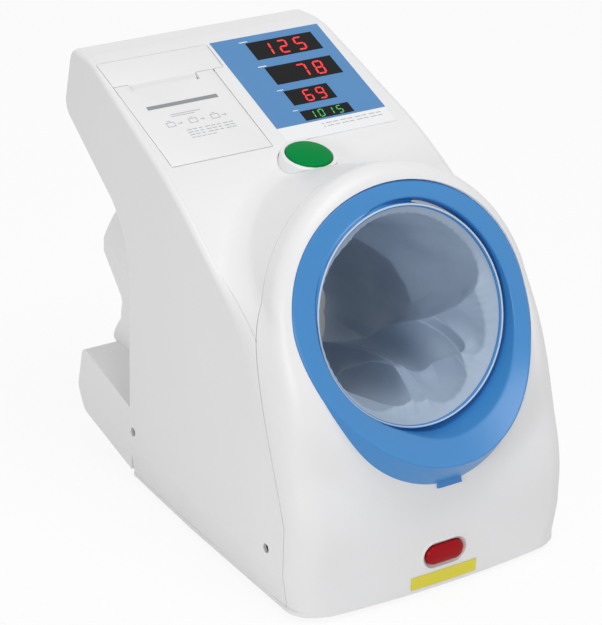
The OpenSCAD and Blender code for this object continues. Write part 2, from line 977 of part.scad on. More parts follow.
module printer_bay() {
    color(paint_dark)
        difference() {
            union() {
                on_deck(bay_left, bay_front, -bay_depth)
                    difference() {
                        cube([bay_right - bay_left, panel_length - bay_front, bay_depth - wall]);
                        translate([rib, rib, rib])
                            cube([bay_right - bay_left - 2 * rib, panel_length - bay_front - 2 * rib, bay_depth]);
                        translate([-1, -1, bay_depth - 4.6])
                            cube([door_right - bay_left + 2, rib + 4, 10]);
                    }
                for (s = [-1, 1])
                    on_deck(platen_x + s * platen_span / 2 - rib / 2, platen_along - 4, -bay_depth)
                        cube([rib, 8, bay_depth - platen_down + 4]);
                for (x = hinge_ears)
                    on_deck(x, 0, 0) {
                        translate([0, hinge_along, -hinge_radius])
                            rotate([0, 90, 0])
                                cylinder(r = hinge_radius, h = rib, $fn = 30);
                        translate([0, bay_front, -10])
                            cube([rib, rib + 1, 10 - hinge_radius]);
                    }
            }
            on_deck(bay_left - 5, hinge_along, -hinge_radius)
                rotate([0, 90, 0])
                    cylinder(r = pin_radius, h = 120, $fn = 30);
            on_deck(platen_x, platen_along, -platen_down)
                rotate([0, 90, 0])
                    cylinder(r = axle_radius + running_gap, h = platen_span + 4, center = true, $fn = 30);
        }
}

module printer_door() {
    span = door_right - door_left;
    reach = bay_seam - door_gap - hinge_along;
    color(paint_white)
        difference() {
            union() {
                on_deck(door_left, hinge_along, -door_thickness)
                    cube([span, reach, door_thickness]);
                on_deck(door_left + 0.5, hinge_along, -hinge_radius)
                    rotate([0, 90, 0])
                        cylinder(r = hinge_radius, h = span - 1, $fn = 30);
            }
            on_deck(bay_left - 5, hinge_along, -hinge_radius)
                rotate([0, 90, 0])
                    cylinder(r = pin_radius + running_gap, h = 120, $fn = 30);
            for (x = hinge_ears)
                on_deck(x - door_gap, bay_front - 1, -10)
                    cube([rib + 2 * door_gap, 2 * hinge_radius + 1 + door_gap, 20]);
            paper_slot();
        }
}

module door_hinge_pin() {
    color(paint_metal)
        on_deck(hinge_ears[0], hinge_along, -hinge_radius)
            rotate([0, 90, 0])
                cylinder(r = pin_radius, h = hinge_ears[1] - hinge_ears[0] + rib, $fn = 30);
}

module door_label() {
    color(paint_white)
        on_deck(paper_x - 33, 5, 0)
            cube([68, 44, 0.3]);
}

module paper_roll() {
    color(paint_white)
        on_deck(paper_x - paper_width / 2, roll_along, -roll_down)
            rotate([0, 90, 0])
                ring(paper_radius, 6, paper_width);
}

module paper_spindle() {
    color(paint_dark)
        on_deck(bay_left + rib, roll_along, -roll_down)
            rotate([0, 90, 0])
                cylinder(r = 5, h = bay_right - bay_left - 2 * rib, $fn = 30);
}

module platen_roller() {
    color(paint_dark)
        on_deck(platen_x, platen_along, -platen_down)
            rotate([0, 90, 0])
                union() {
                    translate([0, 0, -platen_span / 2 + 2])
                        cylinder(r = platen_radius, h = platen_span - 4, $fn = 40);
                    translate([0, 0, -platen_span / 2 - 2.5])
                        cylinder(r = axle_radius, h = gear_x - platen_x + platen_span / 2 + 4, $fn = 24);
                }
}

module platen_gear() {
    color(paint_metal)
        on_deck(gear_x - 0.5, platen_along, -platen_down)
            rotate([0, 90, 0])
                gear(platen_teeth, gear_module, gear_width, axle_radius);
}

module print_head() {
    color(paint_metal)
        on_deck(platen_x - 27, platen_along + platen_radius + paper_gap, rib - bay_depth)
            cube([54, 4, bay_depth - rib - platen_down + 7]);
}

module motor_pinion() {
    color(paint_metal)
        on_deck(gear_x - 0.5, platen_along, -platen_down - gear_offset)
            rotate([0, 90, 0])
                union() {
                    rotate(180 + 180 / motor_teeth)
                        gear(motor_teeth, gear_module, gear_width, 0.8);
                    translate([0, 0, -1])
                        cylinder(r = 1, h = gear_width + 2.6, $fn = 24);
                }
}

module printer_motor() {
    color(paint_metal)
        on_deck(gear_x + 5.5, platen_along, -platen_down - gear_offset)
            rotate([0, 90, 0])
                cylinder(r = 7.5, h = bay_right - rib - gear_x - 5.5, $fn = 48);
}

// Electronics and air

module main_board() {
    color(paint_board)
        union() {
            on_deck(panel_left + 21, 4, -34)
                cube([panel_width - 28, panel_length - 6, 1.6]);
            for (x = [panel_left + 22, panel_left + 86], along = [8, 86])
                on_deck(x, along, -32.4)
                    cube([4, 4, 32.4 - 9]);
            on_deck(panel_left + 30, 20, -32.4)
                cube([18, 18, 3]);
            on_deck(panel_left + 60, 60, -32.4)
                cube([12, 24, 6]);
        }
}

module power_supply() {
    color(paint_metal)
        translate([-65, front_y + 34, foot_height + wall])
            cube([52, 40, 34]);
}

module air_pump() {
    color(paint_dark)
        translate([12, front_y + 50, foot_height + wall + 19])
            union() {
                rotate([0, 90, 0])
                    cylinder(r = 19, h = 36, $fn = 48);
                translate([36, -17, -19])
                    cube([20, 34, 34]);
            }
}

module exhaust_valves() {
    color(paint_metal)
        for (y = [0, 24])
            translate([49, front_y + 108 + y, foot_height + wall])
                cube([18, 18, 26]);
}

module air_hose() {
    color(paint_dark)
        translate([58, front_y + 67, foot_height + wall + 20])
            rotate([-90, 0, 0])
                cylinder(r = 3, h = 108 - 67, $fn = 24);
}

module power_inlet() {
    color(paint_dark)
        on_back(-62)
            difference() {
                block([28, 21, 16], [0, 0, -7.5]);
                block([22, 15, 20], [0, 0, 3.5]);
            }
}

module rocker_bezel() {
    color(paint_dark)
        on_back(-24)
            difference() {
                block([18, 25, 1.2], [0, 0, 0.6]);
                block([13 + 2 * button_gap, 20, 4], [0, 0, 0]);
            }
}

module power_rocker() {
    color(paint_dark)
        on_back(-24)
            union() {
                rotate([90, 0, 90])
                    linear_extrude(13, center = true)
                        polygon([[-8, 0.6], [-8, -5], [0, -9], [8, -5], [8, 2.4], [0, 0.9]]);
                translate([0, 0, -4])
                    rotate([0, 90, 0])
                        cylinder(r = 1.5, h = 13.8, center = true, $fn = 24);
            }
}

module serial_ports() {
    color(paint_metal)
        for (x = [30, 64])
            on_back(x)
                block([26, 11, 12], [0, 0, -5.6]);
}

module speaker() {
    color(paint_dark)
        on_deck(52, 50, -42)
            cylinder(r = 18, h = 8, $fn = 48);
}

base_tray();
rubber_feet();
front_cover();
left_side_cover();
right_side_cover();
top_cover();
rear_cover();
cover_screws();
elbow_rest();
elbow_pad();
rear_collar();
cuff_ring();
ring_catch();
tunnel_tube();
cloth_hoop();
cuff_cloth();
air_bladder();
winding_motor();
winding_pinion();
winding_drum();
drum_bracket();
start_button();
start_collar();
start_spring();
start_switch();
stop_button();
stop_bezel();
stop_switch();
stop_label();
display_panel();
caption_strip();
systolic_window();
diastolic_window();
pulse_window();
clock_window();
display_board();
printer_top_plate();
printer_bay();
printer_door();
door_hinge_pin();
door_label();
paper_roll();
paper_spindle();
platen_roller();
platen_gear();
print_head();
printer_motor();
motor_pinion();
main_board();
power_supply();
air_pump();
exhaust_valves();
air_hose();
power_inlet();
power_rocker();
rocker_bezel();
serial_ports();
speaker();
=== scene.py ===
import math
import time
import bpy
import numpy as np
from mathutils import Matrix, Vector


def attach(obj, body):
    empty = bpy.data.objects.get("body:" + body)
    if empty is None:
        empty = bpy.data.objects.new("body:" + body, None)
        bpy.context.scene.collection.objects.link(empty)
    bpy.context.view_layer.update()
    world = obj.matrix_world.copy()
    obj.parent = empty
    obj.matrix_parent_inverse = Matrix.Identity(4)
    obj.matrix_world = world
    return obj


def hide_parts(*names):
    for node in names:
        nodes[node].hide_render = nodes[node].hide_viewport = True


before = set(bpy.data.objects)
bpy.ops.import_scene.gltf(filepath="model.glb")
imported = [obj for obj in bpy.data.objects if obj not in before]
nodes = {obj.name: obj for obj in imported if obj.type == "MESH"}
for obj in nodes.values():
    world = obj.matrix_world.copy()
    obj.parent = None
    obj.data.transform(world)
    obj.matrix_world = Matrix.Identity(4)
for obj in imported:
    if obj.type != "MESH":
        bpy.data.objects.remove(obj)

started = time.time()
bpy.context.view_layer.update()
scene = bpy.context.scene


def say(stage):
    print("%-28s %5.1f s" % (stage, time.time() - started))


# all lengths below are in millimetres, unless a note says otherwise

def rad(deg):
    return math.radians(deg)


def smooth(value, low, high):
    t = np.clip((value - low) / (high - low), 0, 1)
    return t * t * (3 - 2 * t)


def roundMax(a, b, r):
    # the space inside both of two surfaces, with an outer edge of radius r
    return np.minimum(np.maximum(a, b), -r) + np.hypot(np.maximum(a + r, 0), np.maximum(b + r, 0))


def softMax(a, b, k):
    # the larger of two, eased over a difference of k: the blend for two faces that meet at a shallow angle
    return np.maximum(a, b) + np.maximum(k - np.abs(a - b), 0) ** 2 / (4 * k)


def roundMin(a, b, r):
    # the space inside either of two surfaces, with a fillet of radius r
    return np.maximum(np.minimum(a, b), r) - np.hypot(np.maximum(r - a, 0), np.maximum(r - b, 0))


def boxDistance(u, v, left, low, right, high, corner=0.0):
    # distance to a flat rectangle with round corners, less than nothing inside
    a = np.abs(u - (left + right) / 2) - (right - left) / 2 + corner
    b = np.abs(v - (low + high) / 2) - (high - low) / 2 + corner
    return np.hypot(np.maximum(a, 0), np.maximum(b, 0)) + np.minimum(np.maximum(a, b), 0) - corner


tunnel = dict(tilt=rad(20.8), y=-127.0, z=197.4, hood=110.5)
tiltSin, tiltCos = math.sin(tunnel["tilt"]), math.cos(tunnel["tilt"])
deck = dict(tilt=rad(22.3), y=45.7, z=282.6)
start = dict(tilt=rad(12.2), y=7.5, z=277.1)
back = dict(tilt=rad(15.229 - 90), y=179.0, z=295.5)


def toTunnel(y, z):
    # v runs up across the mouth, h runs out of it
    dy, dz = y - tunnel["y"], z - tunnel["z"]
    return dy * tiltSin + dz * tiltCos, dz * tiltSin - dy * tiltCos


def fromTunnel(x, v, h):
    y = tunnel["y"] + v * tiltSin - h * tiltCos
    return np.stack([x, y, tunnel["z"] + v * tiltCos + h * tiltSin], -1)


def toTilted(place, y, z):
    # the way along a sloped face from its own origin, and out of it
    dy, dz = y - place["y"], z - place["z"]
    c, s = math.cos(place["tilt"]), math.sin(place["tilt"])
    return dy * c + dz * s, dz * c - dy * s


def fromTilted(place, x, along, out):
    c, s = math.cos(place["tilt"]), math.sin(place["tilt"])
    x, along, out = np.broadcast_arrays(x, along, out)
    return np.stack([x + 0.0, place["y"] + along * c - out * s, place["z"] + along * s + out * c], -1)


def addMesh(name, verts, faces, material, flat=False, sharp=None):
    # verts in millimetres; faces is a list of index arrays with 3 or 4 corners each
    mesh = bpy.data.meshes.new(name)
    faces = faces if isinstance(faces, list) else [faces]
    corners = np.concatenate([f.ravel() for f in faces]).astype(np.int32)
    totals = np.concatenate([np.full(len(f), f.shape[1], np.int32) for f in faces])
    mesh.vertices.add(len(verts))
    mesh.vertices.foreach_set("co", (np.asarray(verts, float) / 1000).astype(np.float32).ravel())
    mesh.loops.add(len(corners))
    mesh.loops.foreach_set("vertex_index", corners)
    mesh.polygons.add(len(totals))
    mesh.polygons.foreach_set("loop_start", np.concatenate([[0], np.cumsum(totals)[:-1]]).astype(np.int32))
    mesh.polygons.foreach_set("loop_total", totals)
    mesh.polygons.foreach_set("use_smooth", np.full(len(totals), not flat))
    mesh.update(calc_edges=True)
    mesh.validate()
    if sharp:
        mesh.set_sharp_from_angle(angle=rad(sharp))
    obj = bpy.data.objects.new(name, mesh)
    scene.collection.objects.link(obj)
    mesh.materials.append(material)
    return obj


def gridFaces(rows, cols, wrapRows=False, wrapCols=False, flip=False):
    # quads between the neighbours of a grid that is laid out row by row, closed on either axis if wrapped
    i = np.arange(rows if wrapRows else rows - 1)[:, None]
    j = np.arange(cols if wrapCols else cols - 1)[None, :]
    k, m = (i + 1) % rows, (j + 1) % cols
    quads = np.stack([i * cols + j, k * cols + j, k * cols + m, i * cols + m], -1).reshape(-1, 4)
    return quads[:, ::-1] if flip else quads


def weld(verts, quads):
    # joins corners within half a micrometre, splits the quads and drops faces with no area left
    places = np.round(verts * 2000).astype(np.int64)
    _, first, index = np.unique(places, axis=0, return_index=True, return_inverse=True)
    quads = index.ravel()[quads]
    faces = np.concatenate([quads[:, [0, 1, 2]], quads[:, [0, 2, 3]]])
    good = (faces[:, 0] != faces[:, 1]) & (faces[:, 1] != faces[:, 2]) & (faces[:, 0] != faces[:, 2])
    return verts[first], faces[good]


def keepWhere(verts, faces, value):
    # cuts a triangle mesh along value = 0 and keeps the side above; also gives the cut's edges
    inside = (value > 0)[faces]
    count = inside.sum(1)

    def turned(rows, flags):
        # each triangle's corners, starting from the one that is flagged
        first = np.argmax(flags, 1)
        return rows[np.arange(len(rows))[:, None], (first[:, None] + np.arange(3)) % 3]

    one = turned(faces[count == 1], inside[count == 1])
    two = turned(faces[count == 2], ~inside[count == 2])
    crossed = np.concatenate([one[:, [0, 1]], one[:, [0, 2]], two[:, [0, 1]], two[:, [0, 2]]])
    if not len(crossed):
        return verts, faces[count == 3], np.zeros((0, 2), int)
    edges, index = np.unique(np.sort(crossed, 1), axis=0, return_inverse=True)
    a, b = value[edges[:, 0]], value[edges[:, 1]]
    t = (a / (a - b))[:, None]
    index = index.ravel() + len(verts)
    verts = np.concatenate([verts, verts[edges[:, 0]] * (1 - t) + verts[edges[:, 1]] * t])
    n, m = len(one), len(two)
    p, q, r, s = index[:n], index[n:2 * n], index[2 * n:2 * n + m], index[2 * n + m:]
    corners = np.stack([one[:, 0], p, q], 1)
    nearHalf = np.stack([r, two[:, 1], two[:, 2]], 1)
    farHalf = np.stack([r, two[:, 2], s], 1)
    cuts = np.concatenate([np.stack([p, q], 1), np.stack([s, r], 1)])
    return verts, np.concatenate([faces[count == 3], corners, nearHalf, farHalf]), cuts


def dropUnused(verts, faces):
    # leaves out the corners that no face uses
    used = np.unique(faces)
    order = np.full(len(verts), -1)
    order[used] = np.arange(len(used))
    return verts[used], order[faces]


def normalsOf(verts, faces):
    # each corner's normal: the sum of its faces' cross products, made one long
    a, b, c = verts[faces[:, 0]], verts[faces[:, 1]], verts[faces[:, 2]]
    face = np.cross(b - a, c - a)
    out = np.zeros_like(verts)
    for k in range(3):
        np.add.at(out, faces[:, k], face)
    return out / np.maximum(np.linalg.norm(out, axis=1, keepdims=True), 1e-9)


def hexColor(code):
    # an sRGB code as linear light
    parts = [int(code[i:i + 2], 16) / 255 for i in (1, 3, 5)]
    return tuple(c / 12.92 if c <= 0.04045 else ((c + 0.055) / 1.055) ** 2.4 for c in parts) + (1.0,)


def addNode(tree, kind, links=None, **settings):
    # links gives (node, output) for an input's name or number; in0, in1 and so on set an input by its number
    node = tree.nodes.new(kind)
    for key, value in settings.items():
        if key in node.inputs:
            node.inputs[key].default_value = value
        elif key.startswith("in") and key[2:].isdigit():
            node.inputs[int(key[2:])].default_value = value
        else:
            setattr(node, key, value)
    for key, (source, output) in (links or {}).items():
        tree.links.new(source.outputs[output], node.inputs[key])
    return node


def newMaterial(name):
    mat = bpy.data.materials.new(name)
    mat.use_nodes = True
    mat.node_tree.nodes.clear()
    place = addNode(mat.node_tree, "ShaderNodeTexCoord")
    return mat, mat.node_tree, (place, "Object")


def mottled(tree, place, color, amount, size):
    # the colour times a cloudy factor of 1 - amount to 1 + amount; size is a cloud's, in mm
    cloud = addNode(tree, "ShaderNodeTexNoise", {"Vector": place}, Scale=1000 / size, Detail=3.0)
    ends = {"To Min": 1 - amount, "To Max": 1 + amount}
    shade = addNode(tree, "ShaderNodeMapRange", {"Value": (cloud, "Fac")}, **ends)
    tint = addNode(tree, "ShaderNodeMix", {7: (shade, "Result")}, data_type="RGBA", blend_type="MULTIPLY",
                   in0=1.0, in6=hexColor(color))
    return (tint, 2), (cloud, "Fac")


def grainBump(tree, place, size, depth):
    # a fine noise as relief; a grain's size and depth in mm
    grain = addNode(tree, "ShaderNodeTexNoise", {"Vector": place}, Scale=1000 / size, Detail=2.0)
    bump = addNode(tree, "ShaderNodeBump", {"Height": (grain, "Fac")}, Strength=0.5, Distance=depth / 1000)
    return bump, "Normal"


def finishSurface(mat, tree, color, bump, rough, cloud=None, **settings):
    # the roughness wanders a little with the cloud, so that the shine isn't the same everywhere
    links = {"Base Color": color}
    if bump:
        links["Normal"] = bump
    if cloud:
        ends = {"To Min": rough - 0.04, "To Max": rough + 0.04}
        links["Roughness"] = (addNode(tree, "ShaderNodeMapRange", {"Value": cloud}, **ends), "Result")
    else:
        settings["Roughness"] = rough
    bsdf = addNode(tree, "ShaderNodeBsdfPrincipled", links, **settings)
    addNode(tree, "ShaderNodeOutputMaterial", {"Surface": (bsdf, "BSDF")})
    return mat


def plastic(name, color, rough=0.42, grain=0.4, depth=0.01, mottle=0.015, **settings):
    # moulded plastic: one even colour, an eroded grain that softens the shine
    mat, tree, place = newMaterial(name)
    tint, cloud = mottled(tree, place, color, mottle, 60)
    return finishSurface(mat, tree, tint, grainBump(tree, place, grain, depth), rough, cloud, **settings)


def metal(name, color, rough=0.35):
    # plated or brushed steel: grey with fine scratches
    mat, tree, place = newMaterial(name)
    tint, cloud = mottled(tree, place, color, 0.06, 8)
    return finishSurface(mat, tree, tint, grainBump(tree, place, 0.3, 0.004), rough, cloud, Metallic=1.0)


def cloth(name, color, thread=0.35, sheen=0.25, rough=0.75):
    # plain weave: two crossed sets of threads, raised by turns
    mat, tree, place = newMaterial(name)
    tint, cloud = mottled(tree, place, color, 0.05, 12)
    along, across = (addNode(tree, "ShaderNodeTexWave", {"Vector": place}, bands_direction=axis,
                             Scale=1000 / thread / 20, Distortion=1.0) for axis in "XY")
    weave = addNode(tree, "ShaderNodeMath", {0: (along, "Fac"), 1: (across, "Fac")}, operation="MULTIPLY")
    bump = addNode(tree, "ShaderNodeBump", {"Height": (weave, "Value")}, Strength=0.3, Distance=0.00015)
    soft = {"Sheen Weight": sheen, "Sheen Roughness": 0.4}
    return finishSurface(mat, tree, tint, (bump, "Normal"), rough, cloud, **soft)


def glowing(name, color, strength):
    # a lit segment: its own colour, and light of the same colour
    mat, tree, place = newMaterial(name)
    tint, _ = mottled(tree, place, color, 0.03, 4)
    light = {"Emission Color": hexColor(color), "Emission Strength": strength}
    return finishSurface(mat, tree, tint, None, 0.5, **light)


def shine(level):
    return {"Specular IOR Level": level}


paints = dict(
    cover=plastic("white_abs_moulded", "#EFEFF0", rough=0.38, depth=0.006),  # cool white, soft shine
    ring=plastic("blue_abs_moulded", "#3F8ACB", rough=0.33, depth=0.006),  # clear mid blue, soft highlights
    overlay=plastic("blue_polycarbonate_film", "#4A88C0", rough=0.3, grain=0.2, depth=0.003),  # flat blue
    strip=plastic("white_polycarbonate_film", "#F4F5F6", rough=0.3, grain=0.2, depth=0.003),  # flat white
    window=plastic("smoked_acrylic_window", "#0B0C0F", 0.2, depth=0.001, mottle=0.0, **shine(0.12)),  # black
    start=plastic("green_abs_polished", "#008A42", 0.3, depth=0.003, **shine(0.03)),  # strong green
    stop=plastic("red_abs_polished", "#A50F19", 0.22, depth=0.002, **shine(0.12)),  # deep red, wet gloss
    label=plastic("yellow_vinyl_label", "#E6DA3A", rough=0.4, depth=0.003),  # bright yellow, satin
    print=plastic("grey_screen_print", "#8F9196", rough=0.5, depth=0.002),  # mid grey, flat
    finePrint=plastic("pale_grey_screen_print", "#B4B7BC", rough=0.5, depth=0.002),  # small print, paler
    hoop=plastic("pale_blue_polypropylene", "#C9D9E8", rough=0.4),  # a thin pale line
    rubber=plastic("black_moulded_rubber", "#1B1B1D", rough=0.7, grain=0.5, depth=0.02),  # dull black
    dark=plastic("black_nylon_moulded", "#232427", rough=0.5),  # black with a faint shine
    bay=plastic("charcoal_abs_moulded", "#4A4B4F", rough=0.5),  # dark grey, satin
    gear=plastic("natural_acetal_moulded", "#E6E2D2", rough=0.35, depth=0.003),  # milky cream
    board=plastic("green_solder_mask", "#1E5A34", rough=0.35, grain=0.6, depth=0.01),  # deep green, wet
    paper=plastic("thermal_paper_wound", "#F3F2EC", rough=0.6, grain=0.25, depth=0.01),  # warm white, dry
    steel=metal("zinc_plated_steel", "#B9BBBE"),  # light grey metal
    motor=metal("drawn_steel_can", "#9C9EA2", rough=0.3),  # darker, smoother metal
    cuff=cloth("blue_grey_nylon_weave", "#A9B9CC", sheen=0.0, rough=0.65),  # dull blue-grey, pale on folds
    pad=cloth("blue_grey_knitted_cover", "#7F93AD", thread=0.6, sheen=0.3),  # blue-grey, with a soft halo
)
say("materials")


def bodyPiece(obj, body, slotName, *stands):
    # stands are the CAD nodes that the piece is shown instead of
    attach(obj, body)
    if stands:
        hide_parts(*stands)
    return obj


skin = dict(
    centre=(0.0, 40.0, 200.0), reach=460.0, around=560, across=250,
    width=120.5, toeFrom=-110.0, toe=0.045, toeMore=0.00006,  # half the width, and how it narrows to the back
    skirt=33.0, skirtDraw=0.16, bottom=3.2,  # the sides' lowest stretch is drawn in
    front=-178.0, knee=77.0, lean=rad(22.5),  # the front leans back over the knee
    bow=5.0, bowAt=92.0, bowEnd=99.0,  # its middle stands this far ahead of what is bowAt to either side
    shoulderY=-97.0, shoulderZ=196.0, steep=rad(33), top=324.0,
    crownFrom=95.0, crownOver=20.0, crownDrop=1.2,  # the deck falls off a little at its sides
    behind=(0.9649, 0.2627, -261.35), under=(0.5, -0.866, 136.4), rearWall=85.5,  # shares of y and z, rest
    edge=4.5, cornerLow=24.0, cornerHigh=22.0, crest=10.0, heel=12.0, armpit=30.0,  # radii of edges
    hoodEdge=14.0, hoodBack=-165.0, filletLow=32.0, filletHigh=9.0)


def halfWidth(y):
    # a flat side that turns into a shallow parabola
    past = y - skin["toeFrom"]
    return np.minimum(skin["width"], skin["width"] - skin["toe"] * past - skin["toeMore"] * past ** 2)


def casingField(x, y, z):
    # distance to the casing's outer surface, less than nothing inside: each face is a plane or a cylinder,
    # joined to the next with a rounded edge, and the hood is let into the body with a fillet
    ax = np.abs(x)
    bow = skin["bow"] * (np.minimum(ax, skin["bowEnd"]) / skin["bowAt"]) ** 2 * (1 - smooth(z, 90, 150))
    past = y - skin["front"] - bow
    front = softMax(-past, (z - skin["knee"]) * math.sin(skin["lean"]) - past * math.cos(skin["lean"]), 9)
    side = ax - halfWidth(y) + skin["skirtDraw"] * np.maximum(0, skin["skirt"] - z)
    crown = skin["crownDrop"] * np.maximum(0, (ax - skin["crownFrom"]) / skin["crownOver"]) ** 2
    top = (z - deck["z"] - (y - deck["y"]) * math.tan(deck["tilt"]) + crown) * math.cos(deck["tilt"])
    rise = (y - skin["shoulderY"]) * math.tan(skin["steep"])
    shoulder = (z - skin["shoulderZ"] - rise) * math.cos(skin["steep"])
    top = softMax(softMax(top, shoulder, 6), z - skin["top"], 5)
    behind, under = (a * y + b * z + rest for a, b, rest in (skin["behind"], skin["under"]))
    rear = roundMin(y - skin["rearWall"], under, skin["armpit"])
    profile = roundMax(roundMax(softMax(top, front, 34), behind, skin["crest"]), rear, skin["heel"])
    v, h = toTunnel(y, z)
    hood = roundMax(np.hypot(x, v) - tunnel["hood"], skin["hoodBack"] - h, 5)
    fillet = skin["filletHigh"] + (skin["filletLow"] - skin["filletHigh"]) * (1 - smooth(z, 165, 270))
    hooded = roundMin(profile, roundMax(hood, front, skin["hoodEdge"]), fillet)
    corner = skin["cornerLow"] + (skin["cornerHigh"] - skin["cornerLow"]) * smooth(z, 150, 215)
    atFront = smooth(front - top, -62, -8) * (1 - smooth(y, -85, -30))  # the corner widens towards the front
    edge = skin["edge"] + (corner - skin["edge"]) * atFront
    return np.maximum(roundMax(side, hooded, edge), skin["bottom"] - z)


def castRays(turn, swing):
    # from the centre in each direction, given by its turn round X and its swing towards X: the way to the
    # surface, by halving
    turn, swing = np.broadcast_arrays(turn, swing)
    way = np.stack([np.sin(swing), np.cos(swing) * np.cos(turn), np.cos(swing) * np.sin(turn)], -1)
    near, far = np.zeros(way.shape[:-1]), np.full(way.shape[:-1], skin["reach"])
    origin = np.array(skin["centre"])
    for step in range(21):
        mid = (near + far) / 2
        spot = origin + way * mid[..., None]
        inside = casingField(spot[..., 0], spot[..., 1], spot[..., 2]) < 0
        near, far = np.where(inside, mid, near), np.where(inside, far, mid)
    return origin + way * near[..., None]


def evenSteps(points, at, count, turnWeight):
    # spaces samples along curves (last axis but one) by length, with more where they bend
    step = np.diff(points, axis=-2)
    length = np.linalg.norm(step, axis=-1)
    way = step / np.maximum(length, 1e-9)[..., None]
    bend = np.linalg.norm(np.diff(way, axis=-2), axis=-1)
    bend = np.concatenate([bend[..., :1], bend], -1) + np.concatenate([bend, bend[..., -1:]], -1)
    total = np.cumsum(length + turnWeight * np.minimum(bend, 0.5), -1)
    total = np.concatenate([np.zeros(length.shape[:-1] + (1,)), total], -1)
    rows = total.reshape(-1, total.shape[-1])
    spaced = np.stack([np.interp(np.linspace(0, row[-1], count), row, at) for row in rows])
    return spaced.reshape(total.shape[:-1] + (count,))


def buildSkin():
    # the casing as one surface: turn round X on one axis of the grid, swing from wall to wall on the other
    turn = np.linspace(0, 2 * math.pi, 1441)
    turn = evenSteps(castRays(turn, turn * 0), turn, skin["around"] + 1, 14)[:-1]
    swing = np.linspace(-math.pi / 2, math.pi / 2, 361)
    rough = castRays(turn[:, None], swing[None, :])
    swing = evenSteps(rough, swing, skin["across"], 10)
    verts = castRays(np.broadcast_to(turn[:, None], swing.shape), swing)
    return weld(verts.reshape(-1, 3), gridFaces(skin["around"], skin["across"], wrapRows=True))


skinVerts, skinFaces = buildSkin()
say("casing surface")


def rimRadius(angle):
    # the ring's rim is a circle with two small waves, three and two to the turn, and a shift downwards
    return 100.23 - 3.31 * np.sin(angle) - 1.06 * np.cos(2 * angle) + 2.17 * np.sin(3 * angle)


def rimHeight(angle):
    # how far the rim stands out of the mouth's plane: most at the bottom, where it makes the scooped lip
    return 8.68 - 16.78 * np.sin(angle) - 5.89 * np.cos(2 * angle) + 0.71 * np.sin(3 * angle)


seams = dict(gap=0.3, lap=0.05, inset=4.5, flange=2.5, foot=4.3)
away = 50  # what a cut gives where it doesn't reach


def cutPiece(name, cuts):
    # keeps the part of the skin where every cut is above nothing, and turns each new edge inwards
    verts, faces, edges = skinVerts, skinFaces, []
    for cut in cuts:
        value = cut(verts)
        verts, faces, pairs = keepWhere(verts, faces, np.where(np.abs(value) < 1e-4, 1e-4, value))
        edges.append(pairs)
    normals = normalsOf(verts, faces)
    pairs, size = np.concatenate(edges), len(verts)
    sides = np.concatenate([faces[:, [0, 1]], faces[:, [1, 2]], faces[:, [2, 0]]])
    sides, ordered = np.sort(sides, 1), np.sort(pairs, 1)
    pairs = pairs[np.isin(ordered[:, 0] * size + ordered[:, 1], sides[:, 0] * size + sides[:, 1])]
    rim = np.unique(pairs)
    number = np.full(size, -1)
    number[rim] = np.arange(len(rim))
    a, b = number[pairs[:, 0]] + size, number[pairs[:, 1]] + size
    walls = np.stack([b, a, a + len(rim), b + len(rim)], 1)
    verts = np.concatenate([verts, verts[rim], verts[rim] - normals[rim] * seams["flange"]])
    faces = np.concatenate([faces, walls[:, [0, 1, 2]], walls[:, [0, 2, 3]]])
    return addMesh(name, *dropUnused(verts, faces), paints["cover"])


# each cut gives a value for every point p: above nothing where the material stays

def partingCut(gap):
    # the front cover ends on a plane across the tunnel, and on an upright one low down
    return lambda p: np.maximum(toTunnel(p[:, 1], p[:, 2])[1] + 24, -149 - p[:, 1]) - gap


def tunnelHole(p):
    # the ring's own outline
    v, h = toTunnel(p[:, 1], p[:, 2])
    return np.where(h > -40, np.hypot(p[:, 0], v) - rimRadius(np.arctan2(v, p[:, 0])) - 0.5, away)


def wayOut(p):
    # a round hole for the tunnel's far end
    v, h = toTunnel(p[:, 1], p[:, 2])
    return np.where(p[:, 1] > 60, np.hypot(p[:, 0], v) - 84, away)


def onDeckHole(left, low, right, high, corner=1):
    def cut(p):
        along, out = toTilted(deck, p[:, 1], p[:, 2])
        return np.where(out > -15, boxDistance(p[:, 0], along, left, low, right, high, corner), away)
    return cut


def collarHole(p):
    # a round hole for the start button's collar
    along, out = toTilted(start, p[:, 1], p[:, 2])
    return np.where(out > -30, np.hypot(p[:, 0], along) - 22.4, away)


def stopHole(p):
    # a round-ended slot for the stop button's bezel
    return np.where(p[:, 1] < -150, boxDistance(p[:, 0], p[:, 2], -20.6, 19.6, 20.6, 42.4, 11.4), away)


def screwHole(y, z=45.0, radius=3.7):
    return lambda p: np.where(np.abs(p[:, 0]) > 90, np.hypot(p[:, 1] - y, p[:, 2] - z) - radius, away)


def backHole(x, halfX, halfAlong):
    # a rectangular hole in the leaning back
    def cut(p):
        along, out = toTilted(back, p[:, 1], p[:, 2])
        hole = boxDistance(p[:, 0], along, x - halfX, -halfAlong, x + halfX, halfAlong, 1)
        return np.where((out > 0) & (p[:, 1] > 150), hole, away)
    return cut


def middleCut(gap):
    # the stretch between the two side covers
    return lambda p: halfWidth(p[:, 1]) - seams["inset"] - np.abs(p[:, 0]) - gap


def topCut(gap):
    # the top cover: ahead of a plane at the back, and above one through the body
    return lambda p: np.minimum(158 - p[:, 1], p[:, 2] - 100.4 - (p[:, 1] + 149) * 0.6176) - gap


def less(cut, gap):
    return lambda p: -cut(p) - gap


def leftHalf(p):
    return -p[:, 0]


def rightHalf(p):
    return p[:, 0]


def clearOfFoot(p):
    return p[:, 2] - seams["foot"]


